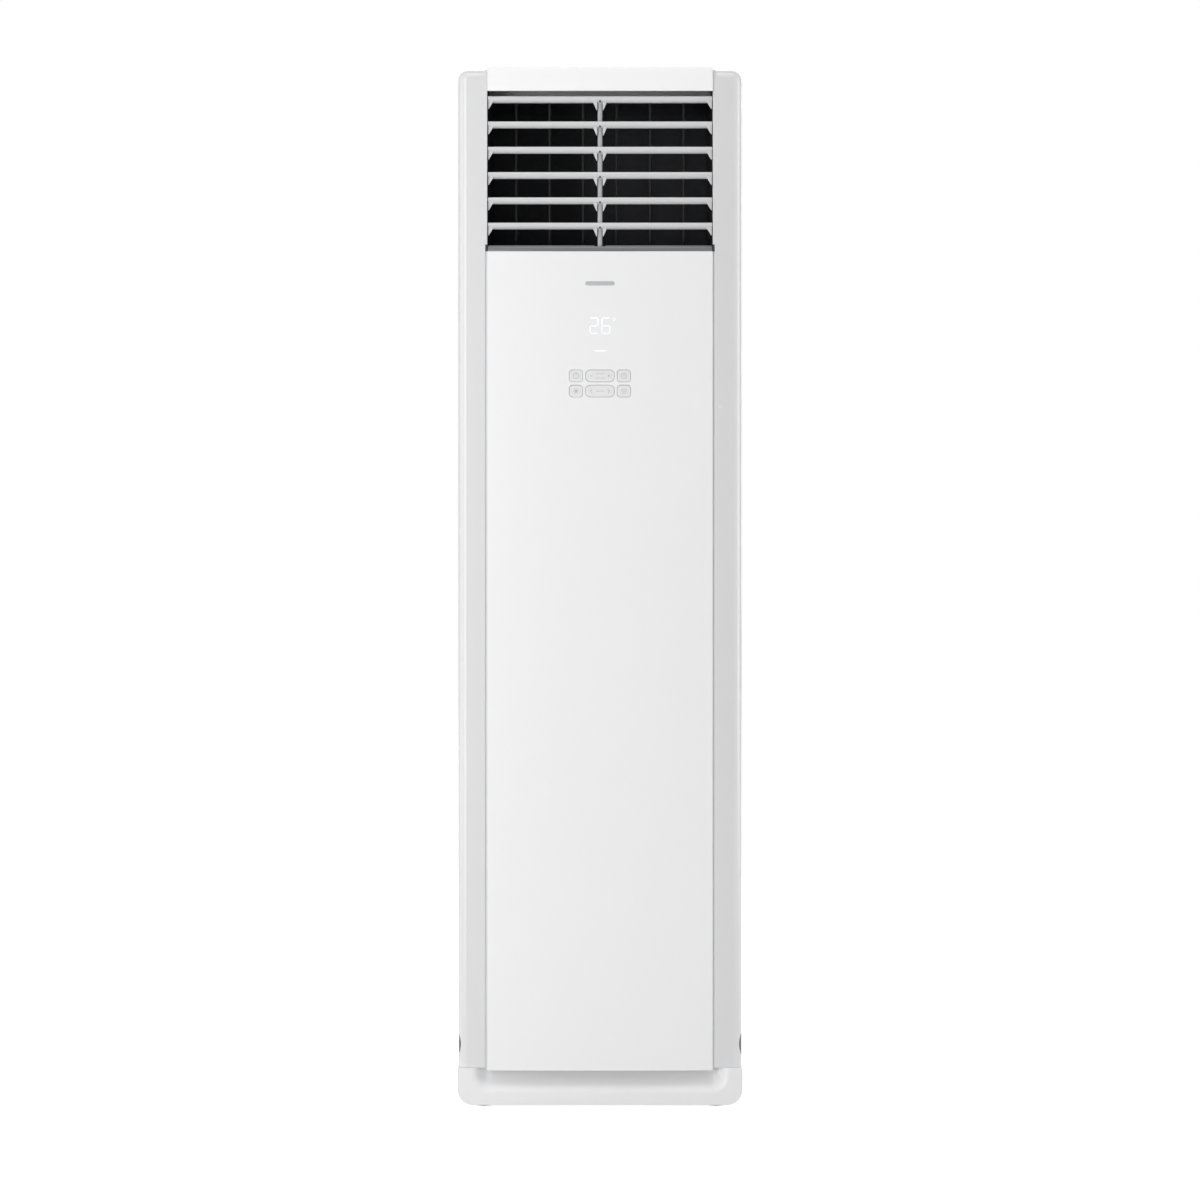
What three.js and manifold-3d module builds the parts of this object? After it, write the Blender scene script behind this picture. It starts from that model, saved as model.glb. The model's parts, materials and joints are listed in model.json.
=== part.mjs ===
// Floor standing air conditioner, indoor unit. Millimetres, +Z up, front towards -Y.
// The origin is the middle of the footprint, on the floor.
import * as THREE from 'three';
import { mergeVertices } from 'three/addons/utils/BufferGeometryUtils.js';
import Module from 'manifold-3d';

const wasm = await Module();
wasm.setup();

// ---- driving dimensions ----
const HEIGHT = 1750;
const WIDTH = 480;
const DEPTH = 320;
const HALF_W = WIDTH / 2;
const FRONT = -DEPTH / 2;
const BACK = DEPTH / 2;
const GAP = 0.3;
const SHEET = 3;

const FOOT_HEIGHT = 5;
const FOOT_RADIUS = 17;
const FOOT_X = 196;
const FOOT_Y = 118;
const BASE_TOP = 67;
const PLINTH_TOP = 27;
const COVE_DEPTH = 18;
const BASE_FRONT = FRONT + 2;

const PANEL_HALF_W = 189.5;
const PANEL_BOTTOM = 63;
const PANEL_TOP = 1440.5;
const PANEL_DIP = 6;
const PANEL_BULGE = 4;

const TRIM_INNER_X = 193;
const TRIM_OUTER_X = 239;
const TRIM_FRONT = FRONT + 6;
const TRIM_BACK = -121;
const TRIM_TOP = 1746.5;
const TRIM_CORNER = 16;

const SIDE_FRONT = -120;
const SIDE_BACK = 152.5;
const SIDE_BOTTOM = BASE_TOP + GAP;
const SIDE_TOP = 1722;
const REAR_Y = 153;

const INTAKE = { y0: -112, y1: 146, z0: 134, z1: 895 };
const INTAKE_ROWS = 32;
const INTAKE_BORDER = 12;
const GRILLE_THICKNESS = 8;
const FILTER_IN_X = 222;
const FILTER_OUT_X = 230;
const FILTER_TOP = 880;
const GRIP = { y0: -45, y1: 55, z0: 90, z1: 128, depth: 23 };

const OUTLET_HALF_W = 189.5;
const OUTLET_BOTTOM = 1445;
const OUTLET_ROOF = 1723;
const OUTLET_FRONT = -153.5;
const OUTLET_BACK = -40;
const APRON_BOTTOM = 1710;

const LOUVER_COUNT = 6;
const LOUVER_TOP = 1702;
const LOUVER_PITCH = 42.6;
const LOUVER_HALF_L = OUTLET_HALF_W - 0.8;
const LOUVER_FRONT = -152;
const LOUVER_BACK = -96;
const LIP_THICKNESS = 4;
const LIP_HEIGHT = 6;
const LOUVER_PIVOT_Y = -118;
const LOUVER_PIVOT_DROP = 5;
const LINK_PIN_Y = -142;
const LINK_PIN_DROP = 8;
const LINK_HALF_W = 4.25;
const PIN_RADIUS = 2;
const PIN_CLEARANCE = 0.4;
const CRANK_TOP = 1410;

const VANE_COUNT = 6;
const VANE_PITCH = 57.2;
const VANE_BOTTOM = 1460;
const VANE_TOP = 1716;
const VANE_PIVOT_Y = -72;
const VANE_LINK_Y = -54;

const KEY_ROWS = [1230.5, 1205];
const KEY_HEIGHT = 19.5;
const KEY_SIDE_X = 40.3;
const KEY_WIDTH = 22;
const PILL_WIDTH = 48;

const FAN_Z = 330;
const FAN_HALF_WIDTH = 75;
const IMPELLER_RADIUS = 128;
const SCROLL_START_RADIUS = 146;
const SCROLL_END_RADIUS = 200;
const SCROLL_START = 50;
const SCROLL_TOP = 645;
const BLADE_COUNT = 24;
const DECK_Z = 648;

const COIL = { low: [115, 720], high: [-70, 1370], thickness: 44, halfWidth: 196 };
const TRAY = { y0: 70, y1: 150, z0: 662, z1: 700, halfWidth: 200 };
const BOX = { x: 140, y0: -140, y1: -92, z0: 700, z1: 880 };
const PIPE_HOLE = { x: -150, z: 140, radius: 40 };
const GLAND = { x: 150, z: 125, radius: 9 };

// ---- solids ----
function solid(geometry) {
  const bare = geometry.clone();
  bare.deleteAttribute('normal');
  bare.deleteAttribute('uv');
  const merged = mergeVertices(bare, 1e-4);
  const vertProperties = new Float32Array(merged.attributes.position.array);
  const triVerts = new Uint32Array(merged.index.array);
  return new wasm.Manifold(new wasm.Mesh({ numProp: 3, vertProperties, triVerts }));
}

function join(...solids) {
  return solids.reduce((sum, next) => sum.add(next));
}

function cut(body, ...tools) {
  return tools.reduce((rest, tool) => rest.subtract(tool), body);
}

function geometryOf(manifold) {
  const mesh = manifold.getMesh();
  const geometry = new THREE.BufferGeometry();
  geometry.setAttribute('position', new THREE.BufferAttribute(mesh.vertProperties, 3));
  geometry.setIndex(new THREE.BufferAttribute(mesh.triVerts, 1));
  geometry.computeVertexNormals();
  return geometry;
}

function box(xa, xb, ya, yb, za, zb) {
  const geometry = new THREE.BoxGeometry(Math.abs(xb - xa), Math.abs(yb - ya), Math.abs(zb - za));
  geometry.translate((xa + xb) / 2, (ya + yb) / 2, (za + zb) / 2);
  return solid(geometry);
}

// An outline through corners [u, v, radius], each corner rounded by its radius.
function outline(corners) {
  const shape = new THREE.Shape();
  corners.forEach(([u, v, radius = 0], i) => {
    const corner = new THREE.Vector2(u, v);
    const last = corners[(i + corners.length - 1) % corners.length];
    const next = corners[(i + 1) % corners.length];
    const start = new THREE.Vector2(last[0] - u, last[1] - v).setLength(radius).add(corner);
    const end = new THREE.Vector2(next[0] - u, next[1] - v).setLength(radius).add(corner);
    if (i === 0) {
      shape.moveTo(start.x, start.y);
    } else {
      shape.lineTo(start.x, start.y);
    }
    if (radius > 0) {
      shape.quadraticCurveTo(corner.x, corner.y, end.x, end.y);
    }
  });
  return shape;
}

function rectangle(u0, u1, v0, v1, radius = 0) {
  return outline([[u0, v0, radius], [u1, v0, radius], [u1, v1, radius], [u0, v1, radius]]);
}

const SIDEWAYS = new THREE.Matrix4().makeBasis(
  new THREE.Vector3(0, 1, 0), new THREE.Vector3(0, 0, 1), new THREE.Vector3(1, 0, 0));
const FRONTWAYS = new THREE.Matrix4().makeBasis(
  new THREE.Vector3(1, 0, 0), new THREE.Vector3(0, 0, 1), new THREE.Vector3(0, -1, 0));

function extrude(shape, length, segments) {
  return new THREE.ExtrudeGeometry(shape, { depth: length, bevelEnabled: false, curveSegments: segments });
}

// A (y, z) outline drawn out along X.
function prismX(shape, x0, x1, segments = 4) {
  const geometry = extrude(shape, Math.abs(x1 - x0), segments).applyMatrix4(SIDEWAYS);
  return solid(geometry.translate(Math.min(x0, x1), 0, 0));
}

// An (x, z) outline drawn out along Y.
function prismY(shape, y0, y1, segments = 4) {
  const geometry = extrude(shape, y1 - y0, segments).applyMatrix4(FRONTWAYS);
  return solid(geometry.translate(0, y1, 0));
}

// An (x, y) outline drawn out along Z.
function prismZ(shape, z0, z1, segments = 4) {
  return solid(extrude(shape, z1 - z0, segments).translate(0, 0, z0));
}

function rodX(radius, x0, x1, y, z, sides = 8) {
  const geometry = new THREE.CylinderGeometry(radius, radius, Math.abs(x1 - x0), sides);
  return solid(geometry.rotateZ(Math.PI / 2).translate((x0 + x1) / 2, y, z));
}

function rodY(radius, y0, y1, x, z, sides = 24) {
  const geometry = new THREE.CylinderGeometry(radius, radius, y1 - y0, sides);
  return solid(geometry.translate(x, (y0 + y1) / 2, z));
}

function rodZ(radius, z0, z1, x, y, sides = 8) {
  const geometry = new THREE.CylinderGeometry(radius, radius, z1 - z0, sides);
  return solid(geometry.rotateX(Math.PI / 2).translate(x, y, (z0 + z1) / 2));
}

// A ring or disc turned about an axis along Y; the profile holds [radius, y] points.
function turnedY(profile, x, z, sides = 32) {
  const points = profile.map(([radius, y]) => new THREE.Vector2(radius, y));
  return solid(new THREE.LatheGeometry(points, sides).translate(x, 0, z));
}

function tube(points, radius, steps) {
  const path = new THREE.CatmullRomCurve3(points.map((p) => new THREE.Vector3(...p)), false, 'centripetal');
  const section = new THREE.Shape();
  section.absarc(0, 0, radius, 0, Math.PI * 2);
  return solid(new THREE.ExtrudeGeometry(section, { steps, extrudePath: path, curveSegments: 4 }));
}

// ---- materials ----
function finish(color, roughness, metalness = 0) {
  return () => new THREE.MeshStandardMaterial({ color, roughness, metalness });
}

const whitePaint = finish(0xf2f2f2, 0.35);
const whitePlastic = finish(0xf4f4f4, 0.4);
const silverPlastic = finish(0xd9dadb, 0.45);
const greyPlastic = finish(0xd2d3d5, 0.45);
const blackPlastic = finish(0x141416, 0.7);
const rubber = finish(0x2a2a2b, 0.85);
const keyPlastic = finish(0xe3e4e5, 0.45);
const galvanised = finish(0xa9adb0, 0.45, 0.9);
const aluminium = finish(0xc3c7ca, 0.4, 0.9);
const copper = finish(0xb8734a, 0.35, 1);
const steel = finish(0x9a9da0, 0.35, 0.9);
const circuitGreen = finish(0x2f6a48, 0.6);
const filterGrey = finish(0x6c7074, 0.8);

const unit = new THREE.Group();

function add(name, manifold, material) {
  const mesh = new THREE.Mesh(geometryOf(manifold), material());
  mesh.name = name;
  unit.add(mesh);
}

// ---- base ----
function base() {
  const plan = rectangle(-HALF_W, HALF_W, BASE_FRONT, BACK, 28);
  const front = outline([
    [-HALF_W, FOOT_HEIGHT, 26], [HALF_W, FOOT_HEIGHT, 26], [HALF_W, BASE_TOP, 6], [-HALF_W, BASE_TOP, 6],
  ]);
  const block = prismZ(plan, FOOT_HEIGHT, BASE_TOP, 6).intersect(prismY(front, FRONT - 1, BACK + 1, 6));
  const coveBack = BASE_FRONT + COVE_DEPTH;
  const coveProfile = outline([
    [FRONT - 1, PLINTH_TOP - 3], [BASE_FRONT + 4, PLINTH_TOP], [coveBack, PLINTH_TOP, 11],
    [coveBack, BASE_TOP + 1], [FRONT - 1, BASE_TOP + 1],
  ]);
  const covePlan = outline([[-214, FRONT - 1], [214, FRONT - 1], [200, coveBack + 1], [-200, coveBack + 1]]);
  const cove = prismX(coveProfile, -220, 220, 8).intersect(prismZ(covePlan, 0, BASE_TOP + 2));
  const tray = prismZ(rectangle(-206, 206, coveBack + 10, 150, 10), 12, BASE_TOP + 1);
  return cut(block, cove, tray);
}

function foot(sideX, sideY) {
  return rodZ(FOOT_RADIUS, 0, FOOT_HEIGHT - GAP, sideX * FOOT_X, sideY * FOOT_Y, 20);
}

add('base_plinth', base(), whitePlastic);
add('foot_front_left', foot(-1, -1), rubber);
add('foot_front_right', foot(1, -1), rubber);
add('foot_rear_left', foot(-1, 1), rubber);
add('foot_rear_right', foot(1, 1), rubber);

// ---- corner trims ----
function trim(side) {
  const plan = (inset) => outline([
    [side * (TRIM_INNER_X + inset), TRIM_BACK],
    [side * (TRIM_INNER_X + inset), TRIM_FRONT + inset, 2],
    [side * (TRIM_OUTER_X - inset), TRIM_FRONT + inset, 14],
    [side * (TRIM_OUTER_X - inset), TRIM_BACK],
  ]);
  const front = outline([
    [side * TRIM_INNER_X, SIDE_BOTTOM], [side * TRIM_OUTER_X, SIDE_BOTTOM, 5],
    [side * TRIM_OUTER_X, TRIM_TOP, TRIM_CORNER], [side * TRIM_INNER_X, TRIM_TOP, 2],
  ]);
  const bar = prismZ(plan(0), SIDE_BOTTOM, TRIM_TOP, 6).intersect(prismY(front, FRONT, TRIM_BACK + 1, 6));
  const hollow = prismZ(plan(2.5), SIDE_BOTTOM - 1, TRIM_TOP - TRIM_CORNER, 6);
  const open = box(side * (TRIM_INNER_X + 2.5), side * (TRIM_OUTER_X - 2.5), TRIM_BACK - 1, TRIM_BACK + 1,
    SIDE_BOTTOM - 1, TRIM_TOP - TRIM_CORNER);
  return cut(bar, hollow, open);
}

add('left_corner_trim', trim(-1), silverPlastic);
add('right_corner_trim', trim(1), silverPlastic);

// ---- side panels, intake grilles and filters ----
function sidePanel(side) {
  const sheetIn = HALF_W - SHEET;
  const sheet = box(side * sheetIn, side * HALF_W, SIDE_FRONT, SIDE_BACK, SIDE_BOTTOM, SIDE_TOP);
  const rearFlange = box(side * 222, side * HALF_W, SIDE_BACK - SHEET, SIDE_BACK, SIDE_BOTTOM, SIDE_TOP);
  const cup = box(side * (HALF_W - GRIP.depth - SHEET), side * sheetIn, GRIP.y0 - SHEET, GRIP.y1 + SHEET,
    GRIP.z0 - SHEET, GRIP.z1 + SHEET);
  const window = box(side * (sheetIn - 1), side * (HALF_W + 1), INTAKE.y0, INTAKE.y1, INTAKE.z0, INTAKE.z1);
  const pocket = prismX(rectangle(GRIP.y0, GRIP.y1, GRIP.z0, GRIP.z1, 10),
    side * (HALF_W - GRIP.depth), side * (HALF_W + 1));
  return cut(join(sheet, rearFlange, cup), window, pocket);
}

function intakeGrille(side) {
  const y0 = INTAKE.y0 + 0.5;
  const y1 = INTAKE.y1 - 0.5;
  const z0 = INTAKE.z0 + 0.5;
  const z1 = INTAKE.z1 - 0.5;
  const middle = (y0 + y1) / 2;
  const inner = HALF_W - GRILLE_THICKNESS;
  const rowPitch = (z1 - z0 - 2 * INTAKE_BORDER) / INTAKE_ROWS;
  let plate = box(side * inner, side * HALF_W, y0, y1, z0, z1);
  for (let row = 0; row < INTAKE_ROWS; row += 1) {
    const low = z0 + INTAKE_BORDER + rowPitch * (row + 0.18);
    const high = low + rowPitch * 0.64;
    plate = cut(plate,
      box(side * (inner - 1), side * (HALF_W + 1), y0 + INTAKE_BORDER, middle - 4, low, high),
      box(side * (inner - 1), side * (HALF_W + 1), middle + 4, y1 - INTAKE_BORDER, low, high));
  }
  const railIn = side * (FILTER_IN_X - 3);
  const rails = [[y0, y0 + 3, y0 + 8], [y1, y1 - 3, y1 - 8]].map(([edge, wall, hook]) => join(
    box(railIn, side * (inner + 1), edge, wall, z0, z1),
    box(railIn, side * (FILTER_IN_X - 0.5), edge, hook, z0, z1)));
  const stop = box(railIn, side * (inner + 1), y0, y1, z0, z0 + 3);
  return join(plate, ...rails, stop);
}

function filter(side) {
  const y0 = INTAKE.y0 + 4.2;
  const y1 = INTAKE.y1 - 4.2;
  const z0 = INTAKE.z0 + 4.2;
  const middle = (y0 + y1) / 2;
  const bays = 5;
  const bayHeight = (FILTER_TOP - z0) / bays;
  let body = box(side * FILTER_IN_X, side * FILTER_OUT_X, y0, y1, z0, FILTER_TOP);
  for (let bay = 0; bay < bays; bay += 1) {
    const low = z0 + bay * bayHeight + 5;
    const high = low + bayHeight - 10;
    [[y0 + 6, middle - 3], [middle + 3, y1 - 6]].forEach(([ya, yb]) => {
      body = cut(body,
        box(side * (FILTER_IN_X - 1), side * (FILTER_IN_X + 3.4), ya, yb, low, high),
        box(side * (FILTER_IN_X + 4.6), side * (FILTER_OUT_X + 1), ya, yb, low, high));
    });
  }
  return body;
}

[['left', -1], ['right', 1]].forEach(([word, side]) => {
  add(`${word}_side_panel`, sidePanel(side), whitePaint);
  add(`${word}_intake_grille`, intakeGrille(side), whitePlastic);
  add(`${word}_air_filter`, filter(side), filterGrey);
});

// ---- rear panel, pipe grommet and cable gland ----
function rearPanel() {
  const sheet = box(-HALF_W + 1, HALF_W - 1, REAR_Y, REAR_Y + SHEET, SIDE_BOTTOM, SIDE_TOP);
  const pipeHole = rodY(PIPE_HOLE.radius, REAR_Y - 1, REAR_Y + SHEET + 1, PIPE_HOLE.x, PIPE_HOLE.z);
  const glandHole = rodY(GLAND.radius + GAP, REAR_Y - 1, REAR_Y + SHEET + 1, GLAND.x, GLAND.z, 16);
  return cut(sheet, pipeHole, glandHole);
}

function grommet() {
  const bore = PIPE_HOLE.radius - 6;
  const neck = PIPE_HOLE.radius - 1;
  const lip = PIPE_HOLE.radius + 5;
  const inY = REAR_Y - GAP;
  const outY = REAR_Y + SHEET + GAP;
  return turnedY([
    [bore, inY - 3], [lip, inY - 3], [lip, inY], [neck, inY], [neck, outY], [lip, outY],
    [lip, outY + 3], [bore, outY + 3], [bore, inY - 3],
  ], PIPE_HOLE.x, PIPE_HOLE.z);
}

function gland() {
  const outY = REAR_Y + SHEET + GAP;
  return turnedY([
    [4, REAR_Y - 12], [GLAND.radius, REAR_Y - 12], [GLAND.radius, outY], [14, outY],
    [14, outY + 3], [4, outY + 3], [4, REAR_Y - 12],
  ], GLAND.x, GLAND.z, 16);
}

add('rear_panel', rearPanel(), whitePaint);
add('pipe_grommet', grommet(), rubber);
add('cable_gland', gland(), blackPlastic);

// ---- top cover ----
function topCover() {
  const skirtBottom = SIDE_TOP + GAP;
  const rear = BACK - 2;
  const lidFront = SIDE_FRONT;
  const section = (inset, bottom) => outline([
    [-HALF_W + inset, bottom], [HALF_W - inset, bottom],
    [HALF_W - inset, TRIM_TOP - inset, TRIM_CORNER], [-HALF_W + inset, TRIM_TOP - inset, TRIM_CORNER],
  ]);
  const lid = prismY(section(0, skirtBottom), lidFront, rear, 6);
  const crown = box(-OUTLET_HALF_W, OUTLET_HALF_W, FRONT + 2, rear, TRIM_TOP - SHEET, HEIGHT);
  const apron = box(-OUTLET_HALF_W, OUTLET_HALF_W, FRONT + 2, FRONT + 5.5, APRON_BOTTOM, HEIGHT);
  const hollow = prismY(section(SHEET, skirtBottom - 1), lidFront - 1, rear - SHEET, 6);
  return cut(join(lid, apron), hollow).add(crown);
}

add('top_cover', topCover(), whitePlastic);

// ---- front panel ----
function panelFrontY(x) {
  return FRONT + PANEL_BULGE * (x / PANEL_HALF_W) ** 2;
}

function keyOutline(x, z, width, grow) {
  const halfW = width / 2 + grow;
  const halfH = KEY_HEIGHT / 2 + grow;
  const corner = width > KEY_WIDTH ? 8 : 5;
  return rectangle(x - halfW, x + halfW, z - halfH, z + halfH, corner + grow);
}

const keys = KEY_ROWS.flatMap((z, row) => [
  { name: `key_left_${row + 1}`, x: -KEY_SIDE_X, z, width: KEY_WIDTH },
  { name: `rocker_key_${row + 1}`, x: 0, z, width: PILL_WIDTH },
  { name: `key_right_${row + 1}`, x: KEY_SIDE_X, z, width: KEY_WIDTH },
]);

function frontPanel() {
  const wall = 3;
  const steps = 12;
  const outer = [];
  const inner = [];
  for (let i = 0; i <= steps; i += 1) {
    const x = PANEL_HALF_W * (2 * i / steps - 1);
    const innerX = (PANEL_HALF_W - wall) * (2 * i / steps - 1);
    outer.push([x, panelFrontY(x)]);
    inner.unshift([innerX, panelFrontY(innerX) + wall]);
  }
  const returnY = -141;
  const plan = outline([
    [-PANEL_HALF_W, returnY], ...outer, [PANEL_HALF_W, returnY], [PANEL_HALF_W - wall, returnY],
    ...inner, [-PANEL_HALF_W + wall, returnY],
  ]);
  const face = new THREE.Shape();
  face.moveTo(-PANEL_HALF_W - 1, PANEL_BOTTOM);
  face.lineTo(PANEL_HALF_W + 1, PANEL_BOTTOM);
  face.lineTo(PANEL_HALF_W + 1, PANEL_TOP);
  face.quadraticCurveTo(0, PANEL_TOP - 2 * PANEL_DIP, -PANEL_HALF_W - 1, PANEL_TOP);
  const shell = prismZ(plan, PANEL_BOTTOM, PANEL_TOP).intersect(prismY(face, FRONT - 1, returnY + 1, 12));
  const holes = keys.map(({ x, z, width }) => prismY(keyOutline(x, z, width, 0.6), FRONT - 2, FRONT + 6, 2));
  return cut(shell, ...holes);
}

// A rocker key presses one of two switches, a small key its only one.
function stemOffsets(width) {
  return width > KEY_WIDTH ? [-15, 15] : [0];
}

function key({ x, z, width }) {
  const cap = prismY(keyOutline(x, z, width, 0), FRONT + 0.4, FRONT + 4.3, 2);
  const flange = prismY(keyOutline(x, z, width, 1.8), FRONT + 3.8, FRONT + 5.2, 2);
  const stems = stemOffsets(width).map((offset) => rodY(3, FRONT + 5, FRONT + 10.5, x + offset, z, 8));
  return join(cap, flange, ...stems);
}

add('front_panel', frontPanel(), whitePlastic);
keys.forEach((item) => add(item.name, key(item), keyPlastic));

// ---- display board behind the panel ----
function displayBoard() {
  const boardY = FRONT + 13;
  const board = box(-70, 70, boardY, boardY + 1.6, 1188, 1345);
  const digits = box(-32, 32, boardY - 8, boardY + 0.5, 1298, 1334);
  const lamp = box(-16, 16, boardY - 8, boardY + 0.5, 1268, 1282);
  const domes = keys.flatMap(({ x, z, width }) => stemOffsets(width).map((offset) => rodY(
    4, boardY - 1, boardY + 0.5, x + offset, z, 8)));
  return join(board, digits, lamp, ...domes);
}

add('display_board', displayBoard(), circuitGreen);

// ---- air outlet: frame, duct, louvers and vanes ----
const louverTops = Array.from({ length: LOUVER_COUNT }, (unused, i) => LOUVER_TOP - i * LOUVER_PITCH);
const vaneXs = Array.from({ length: VANE_COUNT }, (unused, i) => (i - (VANE_COUNT - 1) / 2) * VANE_PITCH);

function outletFrame() {
  const wallX = OUTLET_HALF_W + SHEET;
  const floor = OUTLET_BOTTOM - 4;
  const roof = OUTLET_ROOF + 4;
  const mouth = rectangle(-wallX, wallX, floor, roof);
  mouth.holes.push(rectangle(-OUTLET_HALF_W, OUTLET_HALF_W, OUTLET_BOTTOM, OUTLET_ROOF));
  const ring = prismY(mouth, OUTLET_FRONT, OUTLET_BACK);
  const lip = box(-184, 184, OUTLET_FRONT + 1, OUTLET_FRONT + 4, floor - 14, floor + 1);
  const bracket = box(22.5, 25.5, -136, -100, CRANK_TOP - 22, floor + 1);
  const shaftHole = rodX(6, 21, 27, LOUVER_PIVOT_Y, CRANK_TOP - LOUVER_PIVOT_DROP);
  const slot = box(-7, 7, -149.5, -130, floor - 1, OUTLET_BOTTOM + 1);
  const pivots = louverTops.flatMap((top) => [-1, 1].map((side) => rodX(
    3 + PIN_CLEARANCE, side * (OUTLET_HALF_W - 1), side * (wallX + 1), LOUVER_PIVOT_Y, top - LOUVER_PIVOT_DROP)));
  const sockets = vaneXs.flatMap((x) => [
    rodZ(2.5 + PIN_CLEARANCE, floor - 1, OUTLET_BOTTOM + 1, x, VANE_PIVOT_Y),
    rodZ(2.5 + PIN_CLEARANCE, OUTLET_ROOF - 1, roof + 1, x, VANE_PIVOT_Y),
  ]);
  return cut(join(ring, lip, bracket), shaftHole, slot, ...pivots, ...sockets);
}

function outletDuct() {
  const wallX = OUTLET_HALF_W + SHEET;
  const front = OUTLET_BACK + GAP;
  const rear = 148;
  const low = 1385;
  const roof = OUTLET_ROOF + 4;
  const hood = prismX(outline([
    [front, roof - SHEET], [front, roof], [rear, roof, 80], [rear, low], [rear - SHEET, low],
    [rear - SHEET, roof - SHEET, 77],
  ]), -wallX, wallX, 8);
  const cheek = outline([[front, low], [front, roof], [rear, roof, 80], [rear, low]]);
  const cheeks = [-1, 1].map((side) => prismX(cheek, side * OUTLET_HALF_W, side * wallX, 8));
  const baffle = box(-wallX, wallX, front, front + SHEET, low, OUTLET_BOTTOM);
  return join(hood, ...cheeks, baffle);
}

function louver(top) {
  const lipBack = LOUVER_FRONT + LIP_THICKNESS;
  const blade = prismX(outline([
    [LOUVER_FRONT, top, 1.5], [LOUVER_FRONT, top - LIP_HEIGHT, 1.5], [lipBack, top - LIP_HEIGHT],
    [lipBack, top - 3], [LOUVER_BACK, top - 2], [LOUVER_BACK, top - 0.4],
  ]), -LOUVER_HALF_L, LOUVER_HALF_L, 3);
  const linkSlot = box(-5.4, 5.4, lipBack, lipBack + 22, top - 5, top + 1);
  const sides = [-1, 1].flatMap((side) => {
    const end = side * LOUVER_HALF_L;
    const ear = outline([
      [side * 5, top - 2], [side * 11.5, top - 2], [side * 11.5, top - 6], [side * 6.2, top - 18],
      [side * 5, top - 18],
    ]);
    const web = outline([
      [end, top - 2], [end - side * 11, top - 2], [end - side * 11, top - 6], [end - side * 1.5, top - 17],
      [end, top - 17],
    ]);
    return [
      prismY(ear, lipBack - 0.5, -138),
      prismY(web, LOUVER_FRONT + 0.5, lipBack - 0.5),
      box(end, end - side * 2, lipBack - 1, -108, top - 11, top - 1),
      rodX(3, end - side, side * (OUTLET_HALF_W + 2.3), LOUVER_PIVOT_Y, top - LOUVER_PIVOT_DROP),
    ];
  });
  const pin = rodX(PIN_RADIUS, -6, 6, LINK_PIN_Y, top - LINK_PIN_DROP);
  return join(cut(blade, linkSlot), ...sides, pin);
}

function louverLink() {
  const pinZs = [...louverTops, CRANK_TOP].map((top) => top - LINK_PIN_DROP);
  const bar = box(-LINK_HALF_W, LINK_HALF_W, LINK_PIN_Y - 1, LINK_PIN_Y + 5,
    CRANK_TOP - LINK_PIN_DROP - 4, LOUVER_TOP - LINK_PIN_DROP + 2);
  const bosses = pinZs.map((z) => rodX(4.6, -LINK_HALF_W, LINK_HALF_W, LINK_PIN_Y, z));
  const holes = pinZs.map((z) => rodX(PIN_RADIUS + PIN_CLEARANCE, -6, 6, LINK_PIN_Y, z));
  return cut(join(bar, ...bosses), ...holes);
}

function louverCrank() {
  const pivotZ = CRANK_TOP - LOUVER_PIVOT_DROP;
  const pinZ = CRANK_TOP - LINK_PIN_DROP;
  const lever = prismX(outline([
    [LINK_PIN_Y - 5, pinZ - 4.5, 4], [LOUVER_PIVOT_Y + 7, pivotZ - 7, 6],
    [LOUVER_PIVOT_Y + 7, pivotZ + 7, 6], [LINK_PIN_Y - 5, pinZ + 4.5, 4],
  ]), 5, 9);
  const pin = rodX(PIN_RADIUS, -4.2, 6, LINK_PIN_Y, pinZ);
  const hub = rodX(5, 8, 20, LOUVER_PIVOT_Y, pivotZ);
  return join(lever, pin, hub);
}

function louverMotor() {
  const z = CRANK_TOP - LOUVER_PIVOT_DROP;
  return join(rodX(14, 26, 45, LOUVER_PIVOT_Y, z, 20), rodX(2.5, 20.3, 27, LOUVER_PIVOT_Y, z));
}

function vane(x) {
  return join(
    box(x - 1, x + 1, -90, -49, VANE_BOTTOM, VANE_TOP),
    rodZ(2.5, OUTLET_BOTTOM - 3, VANE_BOTTOM + 2, x, VANE_PIVOT_Y),
    rodZ(2.5, VANE_TOP - 2, OUTLET_ROOF + 3, x, VANE_PIVOT_Y),
    rodZ(PIN_RADIUS, VANE_BOTTOM - 9, VANE_BOTTOM + 2, x, VANE_LINK_Y));
}

function vaneLink() {
  const reach = vaneXs[VANE_COUNT - 1] + 8;
  const bar = box(-reach, reach, VANE_LINK_Y - 4, VANE_LINK_Y + 4, VANE_BOTTOM - 8, VANE_BOTTOM - 3.5);
  const holes = vaneXs.map((x) => rodZ(
    PIN_RADIUS + PIN_CLEARANCE, VANE_BOTTOM - 10, VANE_BOTTOM - 2, x, VANE_LINK_Y));
  return cut(bar, ...holes);
}

function vaneMotor() {
  const z = OUTLET_ROOF + 4 + GAP;
  return rodZ(14, z, z + 14, vaneXs[3], VANE_PIVOT_Y, 20);
}

add('outlet_frame', outletFrame(), blackPlastic);
add('outlet_duct', outletDuct(), blackPlastic);
louverTops.forEach((top, i) => add(`louver_${i + 1}`, louver(top), greyPlastic));
add('louver_link_bar', louverLink(), greyPlastic);
add('louver_crank', louverCrank(), greyPlastic);
add('louver_step_motor', louverMotor(), galvanised);
vaneXs.forEach((x, i) => add(`vane_${i + 1}`, vane(x), blackPlastic));
add('vane_link_bar', vaneLink(), blackPlastic);
add('vane_step_motor', vaneMotor(), galvanised);

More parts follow.
